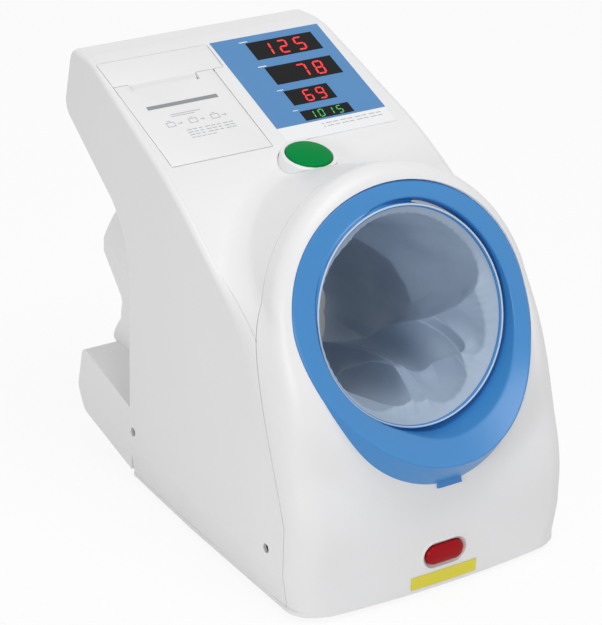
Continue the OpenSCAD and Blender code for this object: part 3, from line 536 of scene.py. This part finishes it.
bayFront = onDeckHole(-103.1, -15.7, -15.9, 103.7)
bayBack = onDeckHole(-60, 75.5, -6.3, 103.7)
afterSeam = less(partingCut(0), seams["gap"])
onSide = less(middleCut(0), seams["lap"])
screwHoles = [screwHole(-127.0), screwHole(76.5)]
portHoles = [backHole(-62, 14, 10.5), backHole(-24, 7.5, 10.5), backHole(30, 13, 5.5), backHole(64, 13, 5.5)]
covers = dict(
    front_cover_skin=("front_cover", [partingCut(seams["gap"]), tunnelHole, stopHole, clearOfFoot]),
    left_side_skin=("left_side_cover", [afterSeam, onSide, leftHalf, *screwHoles, bayFront, clearOfFoot]),
    right_side_skin=("right_side_cover", [afterSeam, onSide, rightHalf, *screwHoles, clearOfFoot]),
    top_cover_skin=("top_cover", [afterSeam, middleCut(0.05), topCut(0.06), bayFront, bayBack, collarHole]),
    rear_cover_skin=("rear_cover", [afterSeam, middleCut(0.05), less(topCut(0), 0.06), wayOut, *portHoles,
                                    clearOfFoot]),
)
for name, (stands, cuts) in covers.items():
    bodyPiece(cutPiece(name, cuts), "body", "cover", stands)
say("covers")


def roundedPath(points, trims, steps=8):
    # points (..., k, 2) joined by straight lines, with each inner corner i replaced by a parabola that starts
    # trims[i] before it
    parts = [points[..., :1, :]]
    t = np.linspace(0, 1, steps)[:, None]
    for i in range(1, points.shape[-2] - 1):
        a, b, c = points[..., i - 1, :], points[..., i, :], points[..., i + 1, :]
        before, after = a - b, c - b
        p = b + before / np.maximum(np.linalg.norm(before, axis=-1, keepdims=True), 1e-9) * trims[i - 1]
        q = b + after / np.maximum(np.linalg.norm(after, axis=-1, keepdims=True), 1e-9) * trims[i - 1]
        p, b, q = p[..., None, :], b[..., None, :], q[..., None, :]
        parts.append((1 - t) ** 2 * p + 2 * t * (1 - t) * b + t ** 2 * q)
    parts.append(points[..., -1:, :])
    return np.concatenate(parts, -2)


ring = dict(steps=360, mouth=77.2, spigot=-14.0, lip=79.7, wall=80.1, groove=7.0,
            trims=[0.5, 0.7, 0.7, 0.8, 1.6, 1.8, 1.0])


def buildRing():
    # a section of rounded straight lines carried round the tunnel: up the mouth's wall, over a thin lip,
    # down a groove that closes towards the left, up to the rim, and down its outside to the cover
    angle = np.linspace(0, 2 * math.pi, ring["steps"], endpoint=False)
    r, h, one = rimRadius(angle), rimHeight(angle), np.ones(ring["steps"])
    wide = smooth(h, 0, 30)
    deep = smooth(np.cos(angle + rad(5)), -0.45, 0.3)
    bottom = -1.6 - ring["groove"] * deep
    crease = np.minimum(h + 0.6, 0.38 * h + 1.6)
    seat = 1 - r * np.sin(angle) * 0.0297
    drop = np.maximum(0, h - seat)
    rows = [
        (ring["mouth"] * one, ring["spigot"] * one),
        (ring["mouth"] * one, -1.3 * one),
        (ring["lip"] * one, -1.1 * one),
        (ring["wall"] + 0.5 * deep, bottom),
        (ring["wall"] + 0.8 + (1.5 + 1.5 * wide) * deep, bottom + 3 * wide),
        (ring["wall"] + 1.5 + (2.4 + 6 * wide) * deep, crease + 1.2 * deep),
        (r - 0.6, h + 0.2),
        (r + 0.6, h - 2.5),
        (r + 1.2 + 0.52 * (drop + 3), seat - 3)]
    section = roundedPath(np.stack([np.stack(row, -1) for row in rows], 1), ring["trims"])
    x = section[..., 0] * np.cos(angle)[:, None]
    v = section[..., 0] * np.sin(angle)[:, None]
    verts = fromTunnel(x, v, section[..., 1]).reshape(-1, 3)
    faces = gridFaces(ring["steps"], section.shape[1], wrapRows=True)
    return addMesh("cuff_ring_skin", verts, faces, paints["ring"])


bodyPiece(buildRing(), "body", "ring", "cuff_ring")


hoop = dict(around=240, turns=16, radius=78.7, height=-0.7, thick=0.7)


def buildHoop():
    # a round cord bent to a circle: a small circle carried round a large one
    around = np.linspace(0, 2 * math.pi, hoop["around"], endpoint=False)[:, None]
    turn = np.linspace(0, 2 * math.pi, hoop["turns"], endpoint=False)[None, :]
    r = hoop["radius"] + hoop["thick"] * np.cos(turn)
    h = hoop["height"] + hoop["thick"] * np.sin(turn) + 0 * around
    verts = fromTunnel(r * np.cos(around), r * np.sin(around), h).reshape(-1, 3)
    faces = gridFaces(hoop["around"], hoop["turns"], wrapRows=True, wrapCols=True, flip=True)
    return addMesh("cloth_hoop_skin", verts, faces, paints["hoop"])


bodyPiece(buildHoop(), "body", "hoop", "cloth_hoop")
say("ring")

cuff = dict(
    around=640, deep=330, crowd=1.15,  # the rows stand closer together near the mouth
    start=-0.5, end=-212.0, radius=73.2, lip=78.4, least=28.0,  # least is the narrowest that it gets
    waist=7.0, taper=10.0, swell=1.4, sharpness=1.35)

# each fold: its line as (angle in degrees, depth), how far it stands in, its width on each side, in mm
folds = (
    ([(75, 95), (37, 86), (-3, 84), (-14, 66)], 9, 10, 34),
    ([(-46, 190), (-38, 149), (-27, 110), (-17, 61), (-6, 28), (8, 4)], 13, 9, 20),
    ([(-40, 211), (-45, 157), (-53, 104), (-66, 52), (-86, 6)], 15, 8, 20),
    ([(-64, 150), (-66, 100), (-73, 55), (-99, 4)], 9, 5, 14),
    ([(-62, 56), (-48, 46), (-41, 27), (-37, 8)], 6, 5, 11),
    ([(-20, 40), (-30, 24), (-52, 8)], 4, 5, 9),
    ([(-10, 215), (-24, 175), (-30, 150)], 6, 7, 12),
    ([(-110, 10), (-122, 70), (-118, 130)], 8, 9, 16),
    ([(120, 20), (128, 80), (122, 150)], 7, 12, 18),
)


def foldHeight(u, w, line, height, near, far):
    # a ridge over the distance to a line: steep on one side and soft on the other, fading to nothing at the
    # line's ends; it falls as e to the power of minus (distance / width) to a power
    line = np.array(line, float)
    line[:, 0] = np.radians(line[:, 0]) * cuff["radius"]
    seg = np.diff(line, axis=0)
    run = np.concatenate([[0], np.cumsum(np.linalg.norm(seg, axis=1))])
    best, side, at = np.full(u.shape, np.inf), np.zeros(u.shape), np.zeros(u.shape)
    for i, (su, sw) in enumerate(seg):
        size = np.hypot(su, sw)
        t = np.clip(((u - line[i, 0]) * su + (w - line[i, 1]) * sw) / size ** 2, 0, 1)
        du, dw = u - line[i, 0] - t * su, w - line[i, 1] - t * sw
        distance = np.hypot(du, dw)
        closer = distance < best
        best = np.where(closer, distance, best)
        side = np.where(closer, np.sign(su * dw - sw * du), side)
        at = np.where(closer, run[i] + t * size, at)
    fade = np.sin(np.pi * np.clip(0.08 + 0.84 * at / run[-1], 0, 1)) ** 0.6
    width = np.where(side > 0, near, far)
    return cuff["swell"] * height * fade * np.exp(-(best / width) ** cuff["sharpness"])


def buildCuff():
    # a sleeve whose radius shrinks with depth, with each fold's ridge, a slow ripple of sines and a set of
    # small gathers at the mouth taken off it
    angle = np.linspace(0, 2 * math.pi, cuff["around"], endpoint=False)
    t = np.linspace(0, 1, cuff["deep"]) ** cuff["crowd"]
    a, t = np.meshgrid(angle, t, indexing="ij")
    h = cuff["start"] + (cuff["end"] - cuff["start"]) * t
    w = -h
    u = np.where(a > math.pi, a - 2 * math.pi, a) * cuff["radius"]
    inward = cuff["waist"] * np.sin(math.pi * np.clip(t * 1.1, 0, 1)) ** 2
    inward += cuff["taper"] * smooth(t, 0.75, 1.0)
    for line, height, near, far in folds:
        inward = np.maximum(inward, 0) + foldHeight(u, w, line, height, near, far)
    ripple = np.sin(9 * a + 3 * np.sin(w / 23)) * 0.5 + np.sin(17 * a - w / 14 + 2 * np.sin(3 * a)) * 0.3
    ripple += np.sin(5 * a + w / 31) * 0.8
    inward += ripple * smooth(w, 4, 30)
    gather = (0.5 + 0.5 * np.sin(64 * a + 2 * np.sin(7 * a))) * 0.5 * (1 - smooth(w, 6, 20))
    r = cuff["radius"] + (cuff["lip"] - cuff["radius"]) * (1 - smooth(w, 0.5, 9))
    r = np.maximum(r - (inward + gather) * smooth(w, 2, 10), cuff["least"])
    verts = fromTunnel(r * np.cos(a), r * np.sin(a), h).reshape(-1, 3)
    faces = gridFaces(cuff["around"], cuff["deep"], wrapRows=True)
    return addMesh("cuff_sleeve", verts, faces, paints["cuff"])


sleeve = bodyPiece(buildCuff(), "body", "cloth", "cuff_cloth")
say("cuff")

trough = dict(
    radius=79.7, y=65.5, z=110.98, rise=rad(5), across=rad(37), front=91.5, back=154.5,
    thick=4.2, clear=0.15, sewn=(0.0, 19.0, 38.0), sewnWidth=1.3, rows=161, turns=96)


def buildPad():
    # a thin cushion bent round the trough: a flattened oval section carried across it, lower over five sewn
    # channels and at both ends, its long sides drawn in between the corners
    across = np.linspace(-1, 1, trough["rows"])[:, None]
    turn = np.linspace(0, 2 * math.pi, trough["turns"], endpoint=False)[None, :]
    middle, half = (trough["front"] + trough["back"]) / 2, (trough["back"] - trough["front"]) / 2
    ends = np.clip(1 - np.abs(across) ** 14, 0, 1) ** 0.5
    reach = half * (1 - 0.05 * (1 - across ** 2)) * (0.9 + 0.1 * ends)
    run = np.sign(np.cos(turn)) * np.abs(np.cos(turn)) ** 0.45
    outward = np.abs(across) * trough["across"] * 80
    sewn = sum(np.exp(-((outward - at) / trough["sewnWidth"]) ** 2) for at in trough["sewn"])
    crown = (0.62 + 0.38 * np.cos(run * math.pi / 2)) * ends * (1 - 0.55 * np.minimum(sewn, 1))
    rise = trough["thick"] * crown * np.where(np.sin(turn) > 0, np.abs(np.sin(turn)) ** 0.5, 0)
    r, a, y = trough["radius"] - trough["clear"] - rise, across * trough["across"], middle + run * reach
    centre = trough["z"] + (y - trough["y"]) * math.tan(trough["rise"])
    verts = np.stack([r * np.sin(a), y, centre - r * np.cos(a)], -1).reshape(-1, 3)
    first = np.arange(trough["turns"])[None, :]
    last = first + (trough["rows"] - 1) * trough["turns"]
    faces = [gridFaces(trough["rows"], trough["turns"], wrapCols=True), first[:, ::-1], last]
    return addMesh("elbow_cushion", verts, faces, paints["pad"])


bodyPiece(buildPad(), "body", "pad", "elbow_pad")
say("elbow pad")

digit = dict(slant=0.12, width=0.52, bar=0.115, gap=0.25, out=0.32)  # width and bar as shares of the height
segments = dict(
    a=((0, 2), (1, 2)), b=((1, 1), (1, 2)), c=((1, 0), (1, 1)), d=((0, 0), (1, 0)),
    e=((0, 0), (0, 1)), f=((0, 1), (0, 2)), g=((0, 1), (1, 1)))
shapes = {"0": "abcdef", "1": "bc", "2": "abdeg", "5": "acdfg", "6": "acdefg", "7": "abc", "8": "abcdefg"}
shapes["9"] = "abcdfg"


def bars(text, left, low, height, pitch):
    # each lit bar is a six-cornered strip between two points of the digit's grid, as flat points on the deck
    outlines = []
    width, bar = height * digit["width"], height * digit["bar"]
    for i, letter in enumerate(text):
        for key in shapes[letter]:
            (ax, ay), (bx, by) = segments[key]
            p = np.array([left + pitch * i + ax * width, low + ay * height / 2])
            q = np.array([left + pitch * i + bx * width, low + by * height / 2])
            along = (q - p) / np.linalg.norm(q - p)
            side = np.array([-along[1], along[0]]) * bar / 2
            p, q = p + along * digit["gap"], q - along * digit["gap"]
            inset = along * bar / 2
            outlines.append([p, p + inset - side, q - inset - side, q, q - inset + side, p + inset + side])
    return np.array(outlines)


def printedShapes(name, flats, out, material, body, slotName, slant=0.0, low=0.0):
    # flat outlines laid on the deck, out above it, leaning from the height low; flats is (count, corners, 2)
    count, corners = flats.shape[:2]
    x = flats[..., 0] + (flats[..., 1] - low) * slant
    verts = fromTilted(deck, x, flats[..., 1], out).reshape(-1, 3)
    faces = np.arange(count * corners).reshape(count, corners)
    return bodyPiece(addMesh(name, verts, faces, material, flat=True), body, slotName)


red = glowing("red_led_segment", "#E0242C", 0.9)
green = glowing("green_led_segment", "#3FB152", 0.5)
readings = dict(
    systolic_digits=("125", 34, 78.4, 13.6, 15.0, red),
    diastolic_digits=("78", 49, 48.6, 13.6, 15.0, red),
    pulse_digits=("69", 38, 22.4, 11.6, 11.6, red),
    clock_digits=("1015", 30, 3.6, 7.6, 8.4, green))
for name, (text, left, low, height, pitch, lit) in readings.items():
    flats = bars(text, left, low, height, pitch)
    printedShapes(name, flats, digit["out"], lit, "body", "window", slant=digit["slant"], low=low)
say("display")


def plate(name, outline, rows, place, material):
    # an outline of (x, along) carried through rows of (inset, out), closed by one flat face over its last row
    outline, rows = np.array(outline, float), np.array(rows)
    before, after = outline - np.roll(outline, 1, 0), np.roll(outline, -1, 0) - outline
    before /= np.linalg.norm(before, axis=1, keepdims=True)
    after /= np.linalg.norm(after, axis=1, keepdims=True)
    m, n = np.stack([-before[:, 1], before[:, 0]], 1), np.stack([-after[:, 1], after[:, 0]], 1)
    inward = (m + n) / (1 + (m * n).sum(1, keepdims=True))
    flat = outline[:, None, :] + inward[:, None, :] * rows[None, :, :1]
    verts = fromTilted(place, flat[..., 0], flat[..., 1], rows[:, 1]).reshape(-1, 3)
    count = len(rows)
    cap = (np.arange(len(outline)) * count + count - 1)[None, :]
    return addMesh(name, verts, [gridFaces(len(outline), count, wrapRows=True), cap], material, sharp=25)


door = dict(left=-102.6, right=-16.4, front=-15.2, back=75.5)
topPlate = dict(right=-6.8, front=76.0, back=103.2)
slot = dict(left=-90.5, right=-31.5, front=68.2, clear=0.3)
tongue = dict(back=76.6, past=2.6, top=-0.05, drop=3.15, steps=(24, 18))
# the tear bar under the slot is black: painted shade, so that the gap in front of the tongue reads as a dark
# line
tearBarShade = dict(back=71.6, front=67.9, out=-3.4, turned=0.8, steps=(12, 8))
doorLine = [
    (door["left"], door["front"]), (door["right"], door["front"]), (door["right"], door["back"]),
    (slot["right"], door["back"]), (slot["right"], slot["front"]), (slot["left"], slot["front"]),
    (slot["left"], door["back"]), (door["left"], door["back"])]
topLine = [
    (door["left"], topPlate["front"]), (topPlate["right"], topPlate["front"]),
    (topPlate["right"], topPlate["back"]), (door["left"], topPlate["back"])]
edgeRows = [(0, -2.6), (0, -0.5), (0.15, -0.15), (0.5, 0.0)]
doorSkin = plate("printer_door_skin", doorLine, edgeRows, deck, paints["cover"])
bodyPiece(doorSkin, "door", "cover", "printer_door")
topSkin = plate("printer_top_skin", topLine, edgeRows, deck, paints["cover"])
bodyPiece(topSkin, "body", "cover", "printer_top_plate")


def acrossSlot(count):
    return np.linspace(slot["left"] + slot["clear"], slot["right"] - slot["clear"], count)[:, None]


def buildTongue():
    # the strip the paper slides out over: its height falls with a power of a sine from the top plate to below
    # the door
    across, steps = tongue["steps"]
    t = np.linspace(0, 1, steps)[None, :]
    along = tongue["back"] - (tongue["back"] - slot["front"] - tongue["past"]) * t
    out = tongue["top"] - tongue["drop"] * np.sin(t * math.pi / 2) ** 1.6
    verts = fromTilted(deck, acrossSlot(across), along, out).reshape(-1, 3)
    return addMesh("paper_tongue", verts, gridFaces(across, steps, flip=True), paints["cover"])


bodyPiece(buildTongue(), "body", "cover")


def buildTearBarShade():
    # a flat bar below the gap between the tongue and the door, its front edge turned down in a quarter
    # circle; it is black so that the gap shows as a dark line, painted shade in place of the slot's own
    # shadow
    across, steps = tearBarShade["steps"]
    turn = np.linspace(0, math.pi / 2, steps)[None, :]
    along = np.append([[tearBarShade["back"]]], tearBarShade["front"] - tearBarShade["turned"] * np.sin(turn), 1)
    out = np.append([[tearBarShade["out"]]], tearBarShade["out"] - tearBarShade["turned"] * (1 - np.cos(turn)), 1)
    verts = fromTilted(deck, acrossSlot(across), along, out).reshape(-1, 3)
    # the black paint here is painted shade for the slot's gap
    return addMesh("paper_tear_bar", verts, gridFaces(across, steps + 1, flip=True), paints["dark"])


bodyPiece(buildTearBarShade(), "body", "bay")


def strips(rows):
    # plain rectangles from (left, low, right, high)
    rows = np.array(rows, float)
    return np.stack([rows[:, [0, 1]], rows[:, [2, 1]], rows[:, [2, 3]], rows[:, [0, 3]]], 1)


def dashLine(left, low, high, count, pitch, length, period=1, shorter=0.0):
    # a row of dashes in place of small words, each of a period shorter than the one before it
    starts = [left + pitch * i for i in range(count)]
    return [(x, low, x + length - i % period * shorter, high) for i, x in enumerate(starts)]


prints = dict(onDoor=0.06, onDisplay=0.36, thick=0.8)  # how far above the deck, and a dash's height
finePrint = []
for low in (17.4, 14.6, 11.8):
    finePrint += dashLine(-72, low, low + prints["thick"], 8, 5.2, 4.4, period=3, shorter=0.7)
finePrint += dashLine(-72, 8.9, 9.6, 5, 4.4, 3.6)
for left in (-84, -65, -46):  # three plain pictures of a box with an arrow beside it
    lines = ((0, 0, 7, 0.6), (0, 0, 0.6, 5), (6.4, 0, 7, 5), (0, 4.4, 7, 5), (2, 6, 5, 6.6), (9, 2, 13, 2.6),
             (12, 1.2, 12.6, 3.4))
    finePrint += [(left + a, 24 + b, left + c, 24 + d) for a, b, c, d in lines]
finePrint += [(-76, 36, -50, 36.7), (-76, 34, -56, 34.7)]
captions = []
for low in (-4.4, -7.6):
    captions += dashLine(38, low, low + prints["thick"], 8, 6.5, 5.4, period=2, shorter=1)
captions += [(34.5, -4.6, 35.7, -3.4), (34.5, -7.8, 35.7, -6.6)]
beside = [(19.5, 96.8, 27, 97.8), (19.5, 67.0, 27, 68.0), (19.5, 38.4, 25, 39.2), (19.5, 14.4, 24, 15.1)]
doorBar = [(-89.6, 45.2, -28.7, 49.0)]
marks = printedShapes("door_print", strips(doorBar), prints["onDoor"], paints["print"], "door", "strip")
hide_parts("door_label")
printedShapes("door_print_fine", strips(finePrint), prints["onDoor"], paints["finePrint"], "door", "strip")
printedShapes("caption_print", strips(captions), prints["onDisplay"], paints["finePrint"], "body", "strip")
printedShapes("window_print", strips(beside), prints["onDisplay"], paints["strip"], "body", "strip")
say("printer")


def revolve(name, profile, material, place, steps=160):
    # a profile of (radius, height) turned round the place's own axis; a radius of 0 closes it
    angle = np.linspace(0, 2 * math.pi, steps, endpoint=False)[:, None]
    x, along = profile[:, 0] * np.cos(angle), profile[:, 0] * np.sin(angle)
    verts = fromTilted(place, x, along, profile[:, 1]).reshape(-1, 3)
    return addMesh(name, *weld(verts, gridFaces(steps, len(profile), wrapRows=True, flip=True)), material)


def dome(radius, rise, edge, depth, count=40):
    # a shallow ball cap with a rounded rim: its height falls with the square of the radius, then it turns
    # down in a quarter circle
    r = np.linspace(0, radius - edge, count)
    cap = np.stack([r, -rise * (r / radius) ** 2], -1)
    turn = np.linspace(0, math.pi / 2, 12)[1:]
    rim = np.stack([radius - edge + edge * np.sin(turn), cap[-1, 1] - edge + edge * np.cos(turn)], -1)
    return np.concatenate([cap, rim, [[radius, -depth]]])


startCap = dome(radius=17.6, rise=1.5, edge=1.6, depth=8)
startButton = revolve("start_button_skin", startCap, paints["start"], start)
bodyPiece(startButton, "start_button", "start", "start_button")
collarLine = roundedPath(np.array([[18.1, -9.0], [18.1, -2.4], [21.3, -2.2], [23.4, -22.0]]), [0.7, 1.7])
collar = revolve("start_collar_skin", collarLine[::-1], paints["cover"], start)
bodyPiece(collar, "body", "cover", "start_collar")


def onFront(x, z, out):
    # points on the front, out ahead of it: the front bows back with the square of x
    return np.stack([x, skin["front"] - out + skin["bow"] * (x / skin["bowAt"]) ** 2, z], -1).reshape(-1, 3)


stop = dict(length=33, height=15, z=31, steps=96)


def stopPiece(name, rows, material, body, slotName, stands):
    # rows of (inset, out): the outline of a round-ended bar drawn in by inset, out ahead of the front
    rows = np.array(rows)
    angle = np.linspace(0, 2 * math.pi, stop["steps"], endpoint=False)[:, None]
    radius = np.maximum(stop["height"] / 2 - rows[:, 0], 0)
    straight = np.sign(np.cos(angle)) * (stop["length"] - stop["height"]) / 2 * (np.abs(np.cos(angle)) > 1e-6)
    verts = onFront(straight + radius * np.cos(angle), radius * np.sin(angle) + stop["z"], rows[:, 1])
    verts, faces = weld(verts, gridFaces(stop["steps"], len(rows), wrapRows=True, flip=True))
    return bodyPiece(addMesh(name, verts, faces, material), body, slotName, stands)


capRows = [
    (7.5, 2.6), (6.5, 2.58), (5, 2.5), (3.5, 2.3), (2.2, 2.0), (1.2, 1.5), (0.5, 0.9), (0.1, 0.2), (0, -0.6),
    (0, -4)]
bezelRows = [
    (-4.5, -3), (-4.5, 0.1), (-4.2, 0.45), (-3.8, 0.6), (-3.0, 0.6), (-2.6, 0.4), (-2.4, -0.2), (-2.2, -1.3),
    (-0.5, -1.6), (-0.5, -6)]
stopPiece("stop_button_skin", capRows, paints["stop"], "stop_button", "stop", "stop_button")
stopPiece("stop_bezel_skin", bezelRows, paints["cover"], "body", "cover", "stop_bezel")

label = dict(half=29, low=7.4, high=17.6, out=0.35, steps=(28, 6))


def buildLabel():
    # a flat strip that follows the front's bow
    columns, rows = label["steps"]
    x = np.linspace(-label["half"], label["half"], columns)
    x, z = np.meshgrid(x, np.linspace(label["low"], label["high"], rows), indexing="ij")
    return addMesh("stop_label_skin", onFront(x, z, label["out"]), gridFaces(columns, rows), paints["label"])


bodyPiece(buildLabel(), "body", "yellow_label", "stop_label")
say("buttons")

# the pieces that show as their CAD solids, each with its paint
plain = dict(
    base_tray="cover", rubber_feet="rubber", cover_screws="rubber", elbow_rest="cover", rear_collar="cover",
    ring_catch="ring", tunnel_tube="steel", air_bladder="rubber", winding_motor="motor",
    winding_pinion="gear", winding_drum="gear", drum_bracket="steel", start_spring="steel",
    start_switch="dark", stop_switch="dark",
    display_panel="overlay", caption_strip="strip", systolic_window="window", diastolic_window="window",
    pulse_window="window", clock_window="window", display_board="board", printer_bay="bay",
    door_hinge_pin="steel", paper_roll="paper", paper_spindle="dark", platen_roller="rubber",
    platen_gear="gear", print_head="motor", printer_motor="motor", motor_pinion="gear", main_board="board",
    power_supply="motor", air_pump="dark", exhaust_valves="steel", air_hose="rubber", power_inlet="dark",
    power_rocker="dark", rocker_bezel="dark", serial_ports="steel", speaker="dark")
for name, paint in plain.items():
    mesh = nodes[name].data
    mesh.materials.clear()
    mesh.materials.append(paints[paint])
say("inner pieces")

# the floor is white to the camera, and keeps part of the object's shadow
mat, tree, place = newMaterial("studio_paper_sweep")
tint, _ = mottled(tree, place, "#F6F6F6", 0.003, 900)
sweep = addNode(tree, "ShaderNodeBsdfDiffuse", {"Color": tint})
glow = addNode(tree, "ShaderNodeEmission", Color=(1, 1, 1, 1), Strength=1.0)
path = addNode(tree, "ShaderNodeLightPath")
share = addNode(tree, "ShaderNodeMath", {0: (path, "Is Camera Ray")}, operation="MULTIPLY", in1=0.9)
both = addNode(tree, "ShaderNodeMixShader", {0: (share, "Value"), 1: (sweep, "BSDF"), 2: (glow, "Emission")})
addNode(tree, "ShaderNodeOutputMaterial", {"Surface": (both, "Shader")})
reach = 12000.0
floorCorners = np.array([[-reach, -reach, 0], [reach, -reach, 0], [reach, reach, 0], [-reach, reach, 0]])
floor = addMesh("floor", floorCorners, np.array([[0, 1, 2, 3]]), mat, flat=True)

# the sky lights the object with half the strength in which the camera and the shine see it
world = bpy.data.worlds.new("studio")
scene.world = world
world.use_nodes = True
tree = world.node_tree
tree.nodes.clear()
path = addNode(tree, "ShaderNodeLightPath")
straightRays = {0: (path, "Is Camera Ray"), 1: (path, "Is Glossy Ray")}
seen = addNode(tree, "ShaderNodeMath", straightRays, operation="MAXIMUM")
throughGlass = {0: (seen, "Value"), 1: (path, "Is Transmission Ray")}
seen = addNode(tree, "ShaderNodeMath", throughGlass, operation="MAXIMUM")
strength = addNode(tree, "ShaderNodeMapRange", {"Value": (seen, "Value")}, **{"To Min": 0.5, "To Max": 1.0})
sky = addNode(tree, "ShaderNodeBackground", {"Strength": (strength, "Result")}, Color=(1, 1, 1, 1))
addNode(tree, "ShaderNodeOutputWorld", {"Surface": (sky, "Background")})

# lamps: where each stands and its width, in metres, and its power; both face the part's middle
lamps = dict(key=((0.2, -0.7, 2.3), 1.4, 19.0), left=((-2.3, -1.3, 0.85), 0.7, 14.0))
aim = Vector((0, 0, 0.16))
for name, (spot, width, power) in lamps.items():
    lamp = bpy.data.lights.new(name, "AREA")
    lamp.shape, lamp.size, lamp.energy = "DISK", width, power
    lampObject = bpy.data.objects.new(name, lamp)
    scene.collection.objects.link(lampObject)
    lampObject.location = spot
    lampObject.rotation_euler = (aim - lampObject.location).to_track_quat("-Z", "Y").to_euler()

# the camera fitted to the photograph's outlines: its place in metres, and its unrolled axes
view = dict(
    spot=(-0.98883, -1.43342, 0.93862), lens=152.22, sensor=36.0, roll=rad(1.4935),
    right=np.array([0.825536, -0.564350, 0.0]), up=np.array([0.232780, 0.340513, 0.910969]),
    ahead=np.array([0.514105, 0.752038, -0.412474]))
c, s = math.cos(view["roll"]), math.sin(view["roll"])
axes = c * view["right"] + s * view["up"], c * view["up"] - s * view["right"], -view["ahead"]
camera = bpy.data.cameras.new("camera")
camera.lens, camera.sensor_width, camera.sensor_fit = view["lens"], view["sensor"], "HORIZONTAL"
cameraObject = bpy.data.objects.new("camera", camera)
scene.collection.objects.link(cameraObject)
rows = [[axis[i] for axis in axes] + [view["spot"][i]] for i in range(3)]
cameraObject.matrix_world = Matrix(rows + [[0, 0, 0, 1]])
scene.camera = cameraObject
scene.view_settings.view_transform = "Standard"

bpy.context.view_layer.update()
say("finished")
